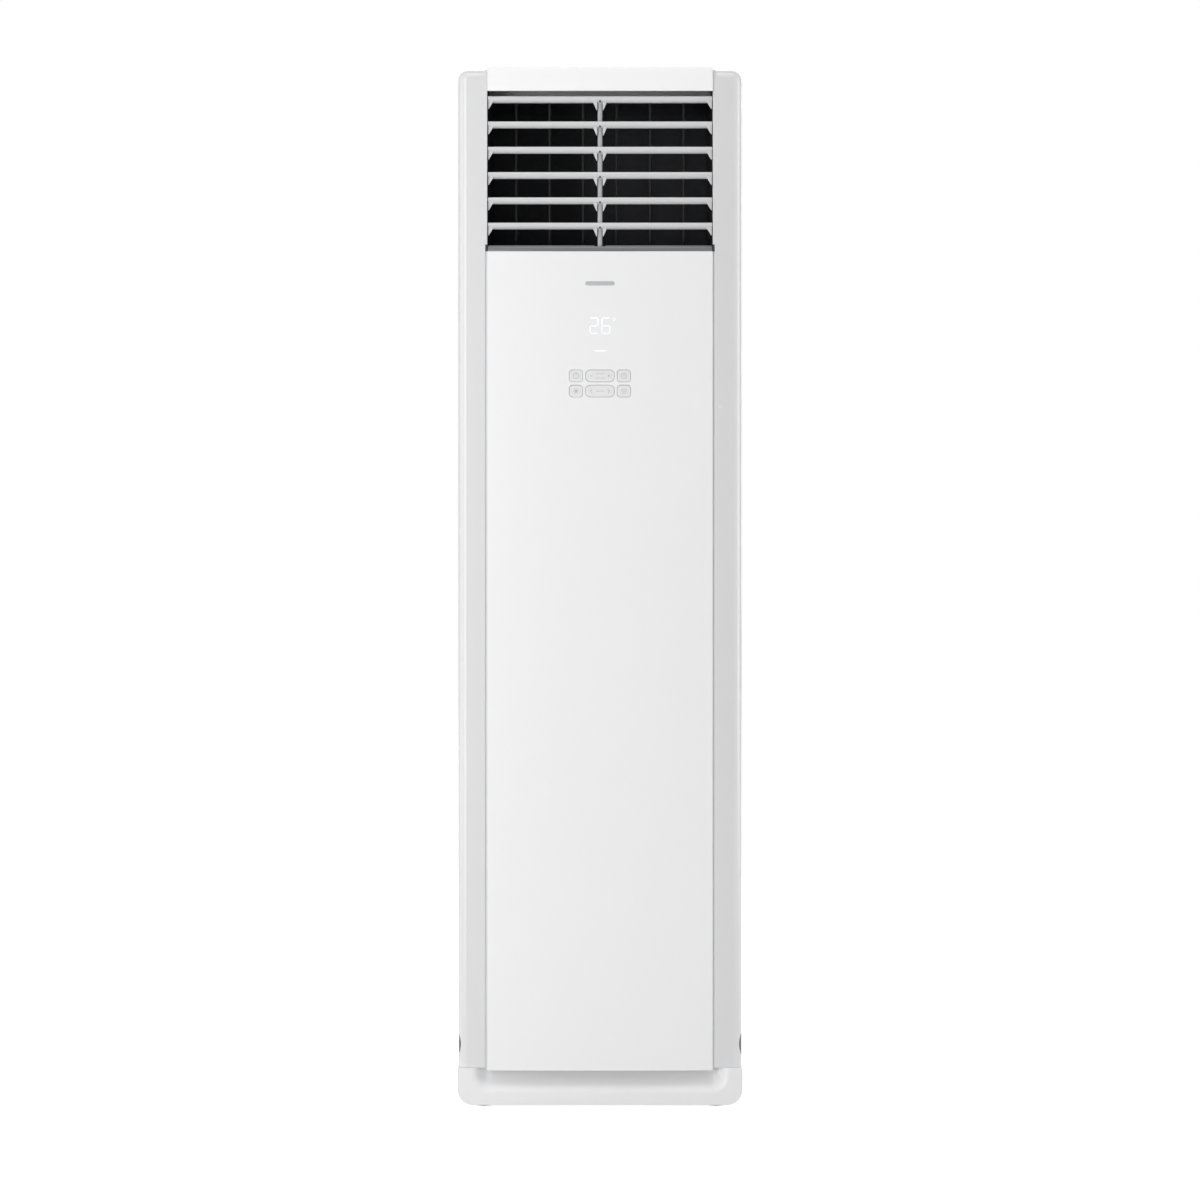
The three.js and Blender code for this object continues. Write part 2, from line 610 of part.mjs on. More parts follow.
// ---- fan ----
function scrollOutline(inset, top) {
  const steps = 20;
  const points = [[SCROLL_END_RADIUS - inset, top]];
  for (let i = 0; i <= steps; i += 1) {
    const turn = 1 - i / steps;
    const angle = (SCROLL_START + turn * (360 - SCROLL_START)) * Math.PI / 180;
    const radius = SCROLL_START_RADIUS + turn * (SCROLL_END_RADIUS - SCROLL_START_RADIUS) - inset;
    points.push([radius * Math.cos(angle), FAN_Z + radius * Math.sin(angle)]);
  }
  const tongueX = SCROLL_START_RADIUS * Math.cos(SCROLL_START * Math.PI / 180) + inset;
  points.push([tongueX, top]);
  return outline(points);
}

function fanScroll() {
  const y = FAN_HALF_WIDTH;
  const shell = prismY(scrollOutline(0, SCROLL_TOP), -y, y);
  const legs = [-110, 98].map((x) => box(x, x + 12, -60, 60, 12 + GAP, 230));
  const hollow = prismY(scrollOutline(2.5, SCROLL_TOP + 1), -y + 2.5, y - 2.5);
  const mouth = rodY(IMPELLER_RADIUS + 5, -y - 1, -y + 4, 0, FAN_Z, 36);
  const shaftHole = rodY(30, y - 4, y + 1, 0, FAN_Z);
  return cut(join(shell, ...legs), hollow, mouth, shaftHole);
}

function inletRing() {
  const y = -FAN_HALF_WIDTH - GAP;
  return turnedY([
    [96, y + 12], [99, y + 1], [106, y - 2.5], [142, y - 2.5], [142, y - 0.2], [108, y - 0.2],
    [101, y + 2], [98, y + 12], [96, y + 12],
  ], 0, FAN_Z, 36);
}

function impeller() {
  const y0 = -FAN_HALF_WIDTH + 14;
  const y1 = FAN_HALF_WIDTH - 12;
  const disc = rodY(IMPELLER_RADIUS, y1 - 2.5, y1, 0, FAN_Z, 48);
  const hub = rodY(20, y1 - 34, y1 - 1, 0, FAN_Z);
  const ring = turnedY([
    [106, y0], [IMPELLER_RADIUS, y0], [IMPELLER_RADIUS, y0 + 3], [106, y0 + 3], [106, y0],
  ], 0, FAN_Z, 48);
  const blades = Array.from({ length: BLADE_COUNT }, (unused, i) => {
    const geometry = new THREE.BoxGeometry(20, y1 - y0 - 3, 1.6);
    geometry.rotateY(Math.PI / 5).translate(116, (y0 + y1) / 2, 0);
    geometry.rotateY(i * 2 * Math.PI / BLADE_COUNT).translate(0, 0, FAN_Z);
    return solid(geometry);
  });
  const bore = rodY(7 + PIN_CLEARANCE, y0, y1 + 1, 0, FAN_Z, 16);
  return cut(join(disc, hub, ring, ...blades), bore);
}

function fanMotor() {
  const y = FAN_HALF_WIDTH + GAP;
  const flange = rodY(58, y, y + 4, 0, FAN_Z, 24);
  const can = rodY(46, y + 3, y + 62, 0, FAN_Z, 24);
  return cut(join(flange, can), rodY(7 + PIN_CLEARANCE, y - 1, y + 54, 0, FAN_Z, 16));
}

add('fan_scroll', fanScroll(), galvanised);
add('fan_inlet_ring', inletRing(), galvanised);
add('fan_impeller', impeller(), blackPlastic);
add('fan_shaft', rodY(7, 32, FAN_HALF_WIDTH + 50, 0, FAN_Z, 16), steel);
add('fan_motor', fanMotor(), steel);

// ---- deck, coil, drain and pipes ----
function deck() {
  const plate = box(-217, 217, SIDE_FRONT, 151, DECK_Z, DECK_Z + SHEET);
  const tongueX = SCROLL_START_RADIUS * Math.cos(SCROLL_START * Math.PI / 180);
  const discharge = box(tongueX - 1, SCROLL_END_RADIUS + 1, -76, 76, DECK_Z - 1, DECK_Z + 4);
  const pipeNotch = box(-218, -160, 100, 152, DECK_Z - 1, DECK_Z + 4);
  return cut(plate, discharge, pipeNotch);
}

function coil() {
  const [y0, z0] = COIL.low;
  const [y1, z1] = COIL.high;
  const length = Math.hypot(y1 - y0, z1 - z0);
  const lean = Math.atan2(y0 - y1, z1 - z0);
  const place = (geometry) => solid(geometry.rotateX(lean).translate(0, (y0 + y1) / 2, (z0 + z1) / 2));
  const pack = place(new THREE.BoxGeometry(2 * COIL.halfWidth, COIL.thickness, length));
  const plates = [-1, 1].map((side) => place(new THREE.BoxGeometry(3, COIL.thickness + 8, length - 2)
    .translate(side * COIL.halfWidth, 0, 0)));
  const bends = Array.from({ length: 10 }, (unused, i) => {
    const bend = new THREE.TorusGeometry(11, 4, 5, 10);
    return place(bend.rotateY(Math.PI / 2).rotateZ(Math.PI / 2)
      .translate(COIL.halfWidth, 0, (i - 4.5) * 62));
  });
  return join(pack, ...plates, ...bends);
}

function drainTray() {
  const { y0, y1, z0, z1, halfWidth } = TRAY;
  const outer = box(-halfWidth, halfWidth, y0, y1, z0, z1);
  const inner = box(-halfWidth + 2.5, halfWidth - 2.5, y0 + 2.5, y1 - 2.5, z0 + 2.5, z1 + 1);
  return cut(outer, inner, rodZ(7, z0 - 1, z0 + 4, -180, 132));
}

function drainHose() {
  return tube([
    [-180, 132, TRAY.z0 - GAP], [-180, 132, 560], [-180, 130, 400], [-180, 128, 260], [-172, 128, 190],
    [-160, 134, 156], [-152, 144, 147], [-150, 157, 146],
  ], 8, 24);
}

function pipe(radius, x, startZ, endY) {
  const lean = (COIL.high[0] - COIL.low[0]) / (COIL.high[1] - COIL.low[1]);
  const startY = COIL.low[0] + (startZ - COIL.low[1]) * lean;
  const stub = rodX(radius, x, -COIL.halfWidth - 1.8, startY, startZ);
  const run = tube([
    [x, startY, startZ + radius], [x, startY + 6, startZ - 50], [x, endY - 4, 780], [x, endY, 700],
    [x, endY, 500], [x, endY, 300],
  ], radius, 20);
  const nut = rodZ(radius + 3.5, 262, 302, x, endY, 6);
  return join(stub, run, nut);
}

add('fan_deck', deck(), galvanised);
add('evaporator_coil', coil(), aluminium);
add('drain_tray', drainTray(), whitePlastic);
add('drain_hose', drainHose(), filterGrey);
add('gas_pipe', pipe(6.4, -209, 860, 112), copper);
add('liquid_pipe', pipe(3.2, -206, 1000, 138), copper);

// ---- electrical box ----
function electricalBox() {
  const { x, y0, y1, z0, z1 } = BOX;
  const outer = box(-x, x, y0, y1, z0, z1);
  const inner = box(-x + 1.5, x - 1.5, y0 - 1, y1 - 1.5, z0 + 1.5, z1 - 1.5);
  const stand = box(-x, x, y1 - 1.5, y1, DECK_Z + SHEET + GAP, z0 + 1);
  return cut(outer, inner).add(stand);
}

function controlBoard() {
  const board = box(-128, 60, BOX.y1 - 10, BOX.y1 - 8.4, 715, 865);
  const parts = [[-110, -70, 14], [-60, -30, 22], [-15, 10, 12], [25, 50, 18]].map(([xa, xb, tall], i) => box(
    xa, xb, BOX.y1 - 9 - tall, BOX.y1 - 9, 730 + 20 * (i % 2), 800 + 15 * (i % 3)));
  return join(board, ...parts);
}

function terminalBlock() {
  const body = box(75, 130, BOX.y1 - 24, BOX.y1 - 2, 730, 760);
  const ways = [82, 96, 110].map((x) => box(x, x + 9, BOX.y1 - 25, BOX.y1 - 14, 736, 761));
  return cut(body, ...ways);
}

add('electrical_box', electricalBox(), galvanised);
add('electrical_box_cover', box(-BOX.x, BOX.x, BOX.y0 - 1.8, BOX.y0 - GAP, BOX.z0, BOX.z1), galvanised);
add('control_board', controlBoard(), circuitGreen);
add('terminal_block', terminalBlock(), blackPlastic);

export default unit;
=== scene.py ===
# %% [markdown]
# # A floor standing air conditioner
# The cabinet is a tall box of pressed steel and moulded plastic: a white convex front, two silver corner
# trims, an open air outlet with tilting louvers, and intake grilles low on both sides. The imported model
# gives every piece its size and place. Pieces whose shape shows are modelled again here, with soft edges.

import json
import math

import bmesh
import bpy
from mathutils import Matrix, Vector


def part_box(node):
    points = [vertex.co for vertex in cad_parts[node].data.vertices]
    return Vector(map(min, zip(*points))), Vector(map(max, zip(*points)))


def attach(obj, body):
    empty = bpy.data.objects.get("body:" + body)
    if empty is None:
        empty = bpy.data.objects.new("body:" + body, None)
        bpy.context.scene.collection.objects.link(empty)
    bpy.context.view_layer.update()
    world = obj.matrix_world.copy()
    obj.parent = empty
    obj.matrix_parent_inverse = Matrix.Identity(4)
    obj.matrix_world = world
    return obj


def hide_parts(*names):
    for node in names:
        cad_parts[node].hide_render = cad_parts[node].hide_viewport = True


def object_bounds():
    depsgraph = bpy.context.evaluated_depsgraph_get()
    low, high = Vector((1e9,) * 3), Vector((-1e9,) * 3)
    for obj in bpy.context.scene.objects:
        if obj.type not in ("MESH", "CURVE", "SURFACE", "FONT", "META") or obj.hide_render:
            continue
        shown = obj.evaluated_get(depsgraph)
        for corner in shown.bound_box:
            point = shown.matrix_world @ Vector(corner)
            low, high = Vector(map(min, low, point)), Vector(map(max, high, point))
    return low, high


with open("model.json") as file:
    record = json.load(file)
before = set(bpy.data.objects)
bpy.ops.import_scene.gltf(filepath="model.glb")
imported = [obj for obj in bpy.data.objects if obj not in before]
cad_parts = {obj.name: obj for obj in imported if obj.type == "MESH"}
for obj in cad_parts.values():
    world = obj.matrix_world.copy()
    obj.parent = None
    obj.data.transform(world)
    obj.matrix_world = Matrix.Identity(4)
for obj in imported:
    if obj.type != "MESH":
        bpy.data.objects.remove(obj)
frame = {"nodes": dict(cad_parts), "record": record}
cad_low, cad_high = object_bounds()
nodes = frame["nodes"]
bodies = frame["record"]["behaviour"]["bodies"]
body_of = {node: body for body, members in bodies.items() for node in members}
print("nodes:", len(nodes), "box:", cad_low, cad_high)

# %% [markdown]
# ## Camera
# A product photo like this one is taken square to the front with a long lens, from about five metres and at
# half the object's height, so the undersides of the louvers just show. The lens follows from the distance
# and from how much height the frame holds.

# %% Camera
MM = 0.001
low, high = Vector(cad_low), Vector(cad_high)
FRAME_HEIGHT = 2.016
CAMERA_DISTANCE = 5.0
CAMERA_HEIGHT = 0.854
SENSOR = 36.0

camera_data = bpy.data.cameras.new("camera")
camera_data.sensor_width = SENSOR
camera_data.lens = SENSOR * CAMERA_DISTANCE / FRAME_HEIGHT
camera = bpy.data.objects.new("camera", camera_data)
camera.location = (0, low.y - CAMERA_DISTANCE, CAMERA_HEIGHT)
camera.rotation_euler = (math.radians(90), 0, 0)
bpy.context.scene.collection.objects.link(camera)
bpy.context.scene.camera = camera
bpy.context.scene.view_settings.view_transform = "Standard"
print("lens:", round(camera_data.lens, 1))

# %% [markdown]
# ## Nodes and colours
# Every finish is a small graph of shader nodes. One function adds a node, sets it and links it, and another
# leads patterns to a shader's colour, sheen and relief. Colours are written as on screen, in hex, and
# turned to linear light once. Patterns are written in real millimetres.

# %% Helpers for finishes
WAVE_PERIOD = math.pi / 10  # how far apart the lines of a wave texture lie at scale 1


def linear(code):
    """An sRGB hex colour as the linear colour that a shader expects."""
    channels = [int(code[i:i + 2], 16) / 255 for i in (1, 3, 5)]
    return tuple(c / 12.92 if c <= 0.04045 else ((c + 0.055) / 1.055) ** 2.4 for c in channels) + (1.0,)


def feed(node, inputs):
    """Gives a node's inputs values, or links from other nodes; a bare node stands for its first output."""
    for socket, value in inputs.items():
        if isinstance(value, bpy.types.Node):
            value = value.outputs[0]
        if isinstance(value, bpy.types.NodeSocket):
            node.id_data.links.new(value, node.inputs[socket])
        else:
            node.inputs[socket].default_value = value


def add_node(tree, kind, inputs=None, ramp=(), **settings):
    """Adds one node with its settings and links, and a ramp's hex colours where it has one."""
    made = tree.nodes.new("ShaderNode" + kind)
    for name, value in settings.items():
        setattr(made, name, value)
    for step, code in enumerate(ramp):
        made.color_ramp.elements[step].color = linear(code)
    feed(made, inputs or {})
    return made


def per_mm(size):
    """The texture scale at which a pattern repeats about every size millimetres."""
    return 1 / (size * MM)


def start_finish(name, colour, roughness, metallic=0.0, ior=1.5):
    """A material with plain values, its node tree and shader, and the object's own coordinates."""
    material = bpy.data.materials.new(name)
    material.use_nodes = True
    tree = material.node_tree
    shader = tree.nodes["Principled BSDF"]
    feed(shader, {"Base Color": linear(colour), "Roughness": roughness, "Metallic": metallic, "IOR": ior})
    return material, tree, shader, add_node(tree, "TexCoord").outputs["Object"]


def vary(shader, tones, sheen=None, relief=None):
    """Leads patterns to a shader: a pattern and two colours, two roughnesses, or a depth in millimetres."""
    tree = shader.id_data
    pattern, *colours = tones
    feed(shader, {"Base Color": add_node(tree, "ValToRGB", {"Fac": pattern}, colours)})
    if sheen:
        pattern, lowest, highest = sheen
        feed(shader, {"Roughness": add_node(tree, "MapRange", {
            "Value": pattern, "To Min": lowest, "To Max": highest})})
    if relief:
        pattern, depth = relief
        feed(shader, {"Normal": add_node(tree, "Bump", {"Height": pattern, "Distance": depth * MM})})

# %% [markdown]
# ## Moulded plastics
# Injection moulded ABS is a hard plastic with a fine satin skin. The eye reads it by its soft, even sheen:
# the colour hardly changes, but the roughness drifts a little, and the skin has a faint orange peel. The
# real grain is finer than a pixel, so it is drawn at 2.5 mm, and wider and fainter on the glossy outer
# pieces.

# %% Moulded plastics
def moulded_plastic(name, colour, shade, roughness, peel=0.01, peel_size=2.5, unevenness=0.04):
    """Satin injection moulded plastic: slow tone drift, uneven sheen, fine orange peel."""
    material, tree, shader, place = start_finish(name, colour, roughness)
    drift = add_node(tree, "TexNoise", {"Vector": place, "Scale": per_mm(260)})
    gloss = add_node(tree, "TexNoise", {"Vector": place, "Scale": per_mm(35), "Detail": 3.0})
    grain = add_node(tree, "TexNoise", {"Vector": place, "Scale": per_mm(peel_size)})
    vary(shader, (drift, colour, shade), (gloss, roughness - unevenness, roughness + unevenness),
         (grain, peel))
    return material


white_abs = moulded_plastic("ABS moulded white", "#F7F7F8", "#F4F4F5", 0.34, 0.004, 6, 0.015)
base_abs = moulded_plastic("ABS moulded white, base", "#ECECED", "#E8E8E9", 0.36, 0.004, 6, 0.015)
panel_abs = moulded_plastic("ABS moulded white, gloss panel", "#EFEFF0", "#EDEDEE", 0.28, 0.0015, 9, 0.006)
silver_abs = moulded_plastic("ABS moulded, silver lacquer", "#DADADB", "#D6D6D7", 0.27, 0.002, 8, 0.008)
badge_grey = moulded_plastic("ABS moulded, grey lacquer", "#BCBEC0", "#B6B8BA", 0.35)
louver_abs = moulded_plastic("ABS moulded light grey", "#D5D5D6", "#D0D0D1", 0.42)
# Painted shade: the sill's grey is darkened further, to stand for the shade under the louvers.
sill_grey_painted_shade = moulded_plastic("ABS moulded grey, sill", "#797A7C", "#737476", 0.5)
link_grey = moulded_plastic("Acetal moulded grey", "#B4B6B8", "#ADAFB1", 0.45)
key_abs = moulded_plastic("ABS moulded key grey", "#E6E6E7", "#E2E2E3", 0.42)
relay_blue = moulded_plastic("PBT moulded, relay", "#39475A", "#334052", 0.4)
filter_frame = moulded_plastic("Polypropylene moulded dark grey", "#55585B", "#5C5F62", 0.55)
black_pp = moulded_plastic("Polypropylene moulded black", "#2B2C2E", "#313234", 0.55, 0.05, 2.5)
duct_foam = moulded_plastic("Insulating foam, black", "#55565A", "#434447", 0.85, 0.4, 4.0)
print("plastics:", len(bpy.data.materials))

# %% [markdown]
# ## Powder coat
# The sides and back are steel sheet with a baked powder coat. Its pebbled skin, a few millimetres from
# crest to crest, breaks up reflections more than plastic does.

# %% Powder coat
white_powder, tree, shader, place = start_finish("Steel sheet, white powder coat", "#ECECED", 0.4)
drift = add_node(tree, "TexNoise", {"Vector": place, "Scale": per_mm(400)})
pebbles = add_node(tree, "TexNoise", {"Vector": place, "Scale": per_mm(3.5), "Detail": 1.0})
vary(shader, (drift, "#ECECED", "#E8E8E9"), (pebbles, 0.34, 0.46), (pebbles, 0.05))
print("on the sides and back:", white_powder.name)

# %% [markdown]
# ## Rubber, net and ink
# Feet and grommet are moulded rubber, dark and very dull, with pale dust. The filter is a woven polyester
# net, whose threads are drawn 3 mm apart, wider than real. The keys' marks are pad printed.

# %% Rubber, net and ink
foot_rubber, tree, shader, place = start_finish("Rubber moulded dark grey", "#3A3A3B", 0.8, ior=1.52)
dust = add_node(tree, "TexNoise", {"Vector": place, "Scale": per_mm(6), "Detail": 4.0})
pores = add_node(tree, "TexNoise", {"Vector": place, "Scale": per_mm(0.8)})
vary(shader, (dust, "#3A3A3B", "#484849"), relief=(pores, 0.08))

filter_net, tree, shader, place = start_finish("Polyester net, woven", "#6F7376", 0.75, ior=1.53)
warp, weft = [add_node(tree, "TexWave", {"Vector": place, "Scale": WAVE_PERIOD * per_mm(3)},
                       bands_direction=axis).outputs["Fac"] for axis in "YZ"]
threads = add_node(tree, "Math", {0: warp, 1: weft}, operation="MAXIMUM")
vary(shader, (threads, "#2E3032", "#6F7376"), relief=(threads, 0.5))

ink, tree, shader, place = start_finish("Ink, pad printed grey", "#B9BABC", 0.5)
specks = add_node(tree, "TexNoise", {"Vector": place, "Scale": per_mm(1.5)})
vary(shader, (specks, "#B4B5B7", "#C0C1C3"))
print("dull finishes:", foot_rubber.name, "/", filter_net.name, "/", ink.name)

# %% [markdown]
# ## Metals
# Galvanised sheet shows zinc crystals, flakes 10 to 20 mm across that each turn the light their own way.
# Shafts and motor shells are plain steel, and drawn copper tube dulls unevenly to brown. Fin stock is
# aluminium foil, so closely packed that the coil looks finely combed; its dark stripes are painted shade
# between the fins.

# %% Metals
def dulled_metal(name, bright, dull, size):
    """Bare metal that has dulled in uneven patches."""
    material, tree, shader, place = start_finish(name, bright, 0.3, metallic=1.0)
    patches = add_node(tree, "TexNoise", {"Vector": place, "Scale": per_mm(size), "Detail": 5.0})
    vary(shader, (patches, dull, bright), (patches, 0.42, 0.25))
    return material


copper_tube = dulled_metal("Copper tube, drawn", "#C27A50", "#7E4A30", 25)
plain_steel = dulled_metal("Steel, turned", "#A6A8AA", "#87898B", 12)

zinc_sheet, tree, shader, place = start_finish("Steel sheet, galvanised", "#B4B8BA", 0.4, metallic=0.9)
crystals = add_node(tree, "TexVoronoi", {"Vector": place, "Scale": per_mm(14)})
tone = add_node(tree, "SeparateColor", {"Color": crystals.outputs["Color"]})
vary(shader, (tone, "#8F9496", "#B4B8BA"), (tone, 0.32, 0.5))

# Painted shade: the wave's dark bands stand for the shade in the gaps between the fins.
fin_stock, tree, shader, place = start_finish("Aluminium fin stock", "#C9CCCE", 0.4, metallic=0.95)
fins_and_gap_shade = add_node(tree, "TexWave", {"Vector": place, "Scale": WAVE_PERIOD * per_mm(3.2)},
                bands_direction="X").outputs["Fac"]
vary(shader, (fins_and_gap_shade, "#6E7274", "#C9CCCE"), relief=(fins_and_gap_shade, 0.6))
print("metals:", copper_tube.name, "/", plain_steel.name, "/", zinc_sheet.name, "/", fin_stock.name)

# %% [markdown]
# ## Circuit board
# A board is glass-epoxy laminate under green lacquer. From a step away it reads as green with a fine,
# regular grain, so rows of two greens at the 2.54 mm pitch stand for the tracks.

# %% Circuit board
board_lacquer, tree, shader, place = start_finish("Glass-epoxy board, lacquered", "#2C6A48", 0.35)
tracks = add_node(tree, "TexBrick", {
    "Vector": place, "Scale": per_mm(2.54) / 2, "Color1": linear("#2C6A48"), "Color2": linear("#245A3C"),
    "Mortar": linear("#3B7E58")})
edges = add_node(tree, "Bump", {"Height": tracks.outputs["Fac"], "Distance": 0.05 * MM})
feed(shader, {"Base Color": tracks, "Normal": edges})
print("finishes:", len(bpy.data.materials))

# %% [markdown]
# ## Floor and light
# White goods are shot on a white sweep, so the floor is a plain pale sheet. To the camera it also glows a
# little, which keeps it white without washing out the soft shadow under the feet. The world is dim to the
# object and plain white to the camera.

# %% Floor and world
WHITE = (1, 1, 1, 1)


def seen_by(tree, *rays):
    """1 for light rays of the named kinds, 0 for all others."""
    path = add_node(tree, "LightPath")
    kinds = {number: path.outputs[f"Is {ray} Ray"] for number, ray in enumerate(rays)}
    return add_node(tree, "Math", kinds, operation="MAXIMUM", use_clamp=True)


def emptied(owner):
    """The node tree of a material or world, without its first nodes."""
    owner.use_nodes = True
    owner.node_tree.nodes.clear()
    return owner.node_tree


bpy.ops.object.select_all(action="DESELECT")
bpy.ops.mesh.primitive_plane_add(size=24, location=(0, 4, 0))
floor = bpy.context.object
floor.name = "floor"
floor_paint = bpy.data.materials.new("Studio floor, white")
tree = emptied(floor_paint)
sheet = add_node(tree, "BsdfDiffuse", {"Color": (0.6, 0.6, 0.6, 1)})
shine = add_node(tree, "Emission", {"Color": WHITE, "Strength": 0.92})
both = add_node(tree, "AddShader", {0: sheet, 1: shine})
mixed = add_node(tree, "MixShader", {0: seen_by(tree, "Camera", "Glossy"), 1: sheet, 2: both})
add_node(tree, "OutputMaterial", {"Surface": mixed})
floor.data.materials.append(floor_paint)

world = bpy.data.worlds.new("studio")
bpy.context.scene.world = world
tree = emptied(world)
ambient, backdrop = [add_node(tree, "Background", {"Color": WHITE, "Strength": strength})
                     for strength in (0.34, 1.0)]
mixed = add_node(tree, "MixShader", {0: seen_by(tree, "Camera", "Transmission"), 1: ambient, 2: backdrop})
add_node(tree, "OutputWorld", {"Surface": mixed})
print("floor, metres:", round(floor.dimensions.x))

# %% [markdown]
# The key lamp stands close to the left and in front, a large soft box. On the right a narrow, weak one puts
# a second highlight on the trim, and one on each side brings out the trims' round edges. The others light
# the top cover, and the back and the edges from behind. Each one is aimed at the middle of the cabinet.

# %% Lamps
LAMPS = {  # place and size in metres, power in watts
    "key": ((-1.65, -2.2, 1.05), (1.2, 2.8), 50), "fill": ((2.6, -1.8, 1.3), (0.2, 2.6), 7),
    "right": ((3.4, -0.3, 1.4), (1.0, 2.6), 56), "left": ((-3.4, -0.3, 1.4), (1.0, 2.6), 22),
    "overhead": ((0, -1.0, 4.2), (2.4, 2.4), 38), "rear": ((0.4, 3.6, 2.0), (2.2, 2.6), 60)}
for name, (place, size, power) in LAMPS.items():
    data = bpy.data.lights.new(name + "_soft_box", "AREA")
    data.shape = "RECTANGLE"
    data.size, data.size_y = size
    data.energy = power
    lamp = bpy.data.objects.new(name + "_soft_box", data)
    lamp.location = place
    aim = Vector((0, 0, high.z / 2)) - Vector(place)
    lamp.rotation_euler = aim.to_track_quat("-Z", "Y").to_euler()
    bpy.context.scene.collection.objects.link(lamp)
print("lamps:", len(LAMPS))

# %% [markdown]
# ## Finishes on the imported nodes
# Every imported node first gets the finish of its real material, outside and inside the cabinet, found by the
# longest start of its name. Those that are modelled again further down are hidden there.

# %% Finishes by node
nodes_in = {
    white_abs: ("base_plinth", "top_cover", "drain_tray", "left_intake", "right_intake"),
    panel_abs: ("front_panel",),
    silver_abs: ("left_corner", "right_corner"),
    white_powder: ("rear_panel", "left_side", "right_side"),
    black_pp: ("outlet_frame", "fan_impeller", "terminal_block", "louver_crank", "vane_", "cable_gland"),
    duct_foam: ("outlet_duct",),
    zinc_sheet: ("fan_scroll", "fan_inlet_ring", "fan_deck", "electrical_box"),
    plain_steel: ("fan_shaft", "fan_motor", "louver_step_motor", "vane_step_motor"),
    fin_stock: ("evaporator_coil",),
    copper_tube: ("gas_", "liquid_"),
    filter_frame: ("drain_hose",),
    board_lacquer: ("control_board", "display_board"),
    louver_abs: ("louver_",),
    key_abs: ("key_", "rocker_"),
    foot_rubber: ("foot_", "pipe_grommet"),
    filter_net: ("left_air", "right_air")}
for node, piece in nodes.items():
    starts = [(len(start), finish) for finish, names in nodes_in.items() for start in names
              if node.startswith(start)]
    finish = max(starts, key=lambda found: found[0])[1] if starts else white_abs
    piece.data.materials.clear()
    piece.data.materials.append(finish)
print("nodes with a finish:", len(nodes))

# %% [markdown]
# ## Modelling by hand, in code
# Every new piece starts as a primitive at its place. Faces and edges are then selected by where they are,
# and edit mode operators inset, bevel, cut or move them, as a person would with a mouse. Sizes are in
# millimetres here and become metres where the primitive is added.

# %% Primitives
def box_mm(node):
    """A node's lowest and highest corner at rest, in millimetres."""
    lowest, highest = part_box(node)
    return lowest / MM, highest / MM


def middle_mm(node):
    """The middle of a node's box, in millimetres."""
    lowest, highest = box_mm(node)
    return (lowest + highest) / 2


def alone(piece):
    """Makes one piece the only selected and active one."""
    bpy.ops.object.select_all(action="DESELECT")
    piece.select_set(True)
    bpy.context.view_layer.objects.active = piece


def settle(piece, name):
    """Puts a new primitive's place into its mesh, so that its object sits at the origin."""
    piece.name = piece.data.name = name
    alone(piece)
    bpy.ops.object.transform_apply(location=True, rotation=True, scale=True)
    return piece


def block(name, corner, opposite):
    """A box between two corners."""
    bpy.ops.object.select_all(action="DESELECT")
    middle = [(a + b) / 2 * MM for a, b in zip(corner, opposite)]
    size = [abs(b - a) * MM for a, b in zip(corner, opposite)]
    bpy.ops.mesh.primitive_cube_add(size=1, location=middle, scale=size)
    return settle(bpy.context.object, name)


TURNS = {"X": (0, math.pi / 2, 0), "Y": (math.pi / 2, 0, 0), "Z": (0, 0, 0)}


def rod(name, axis, radius, length, centre, sides=24):
    """A cylinder along one axis."""
    bpy.ops.object.select_all(action="DESELECT")
    bpy.ops.mesh.primitive_cylinder_add(
        vertices=sides, radius=radius * MM, depth=length * MM, rotation=TURNS[axis],
        location=[c * MM for c in centre])
    return settle(bpy.context.object, name)

# %% [markdown]
# What to select is named by a small test on a place and a direction: a face's middle and normal, an edge's
# middle and its way, or a point and its normal. The tests that return often are named here.

# %% Selecting
def near(a, b, slack=0.05):
    return abs(a - b) < slack


def anything(place, direction):
    return True


def forwards(place, normal):
    return normal.y < -0.9


def at(**wanted):
    """Names what lies at the given coordinates, such as at(y=3)."""
    return lambda place, direction: all(near(getattr(place, axis), value) for axis, value in wanted.items())


def along(axis, test=lambda place: True):
    """Names the edges that run along an axis and whose middle passes a test."""
    return lambda place, way: abs(getattr(way, axis)) > 0.9 and test(place)


def select(piece, kind, wanted):
    """Goes to edit mode with only the wanted faces, edges or vertices selected."""
    alone(piece)
    bpy.ops.object.mode_set(mode="EDIT")
    bpy.ops.mesh.select_mode(type=kind)
    bpy.ops.mesh.select_all(action="DESELECT")
    mesh = bmesh.from_edit_mesh(piece.data)
    if kind == "FACE":
        found = [f for f in mesh.faces if wanted(f.calc_center_median() / MM, f.normal)]
    elif kind == "EDGE":
        ends = [(e, e.verts[0].co, e.verts[1].co) for e in mesh.edges]
        found = [e for e, a, b in ends if wanted((a + b) / 2 / MM, (b - a).normalized())]
    else:
        found = [v for v in mesh.verts if wanted(v.co / MM, v.normal)]
    for item in found:
        item.select_set(True)
    mesh.select_flush_mode()
    bmesh.update_edit_mesh(piece.data)
    return len(found)


def done():
    bpy.ops.object.mode_set(mode="OBJECT")

# %% [markdown]
# Each of these is one step of the work at the mesh, and returns the piece for the next one.

# %% Steps in edit mode
def round_edges(piece, radius, segments, wanted, profile=0.5):
    """Bevels the edges that wanted names."""
    select(piece, "EDGE", wanted)
    bpy.ops.mesh.bevel(
        offset=radius * MM, segments=segments, profile=profile, affect="EDGES", clamp_overlap=True)
    done()
    return piece


def drop_faces(piece, wanted):
    """Deletes the faces that wanted names."""
    select(piece, "FACE", wanted)
    bpy.ops.mesh.delete(type="FACE")
    done()


def shift_points(piece, wanted, offset):
    """Moves the vertices that wanted names."""
    if select(piece, "VERT", wanted):
        bpy.ops.transform.translate(value=[c * MM for c in offset])
    done()
    return piece


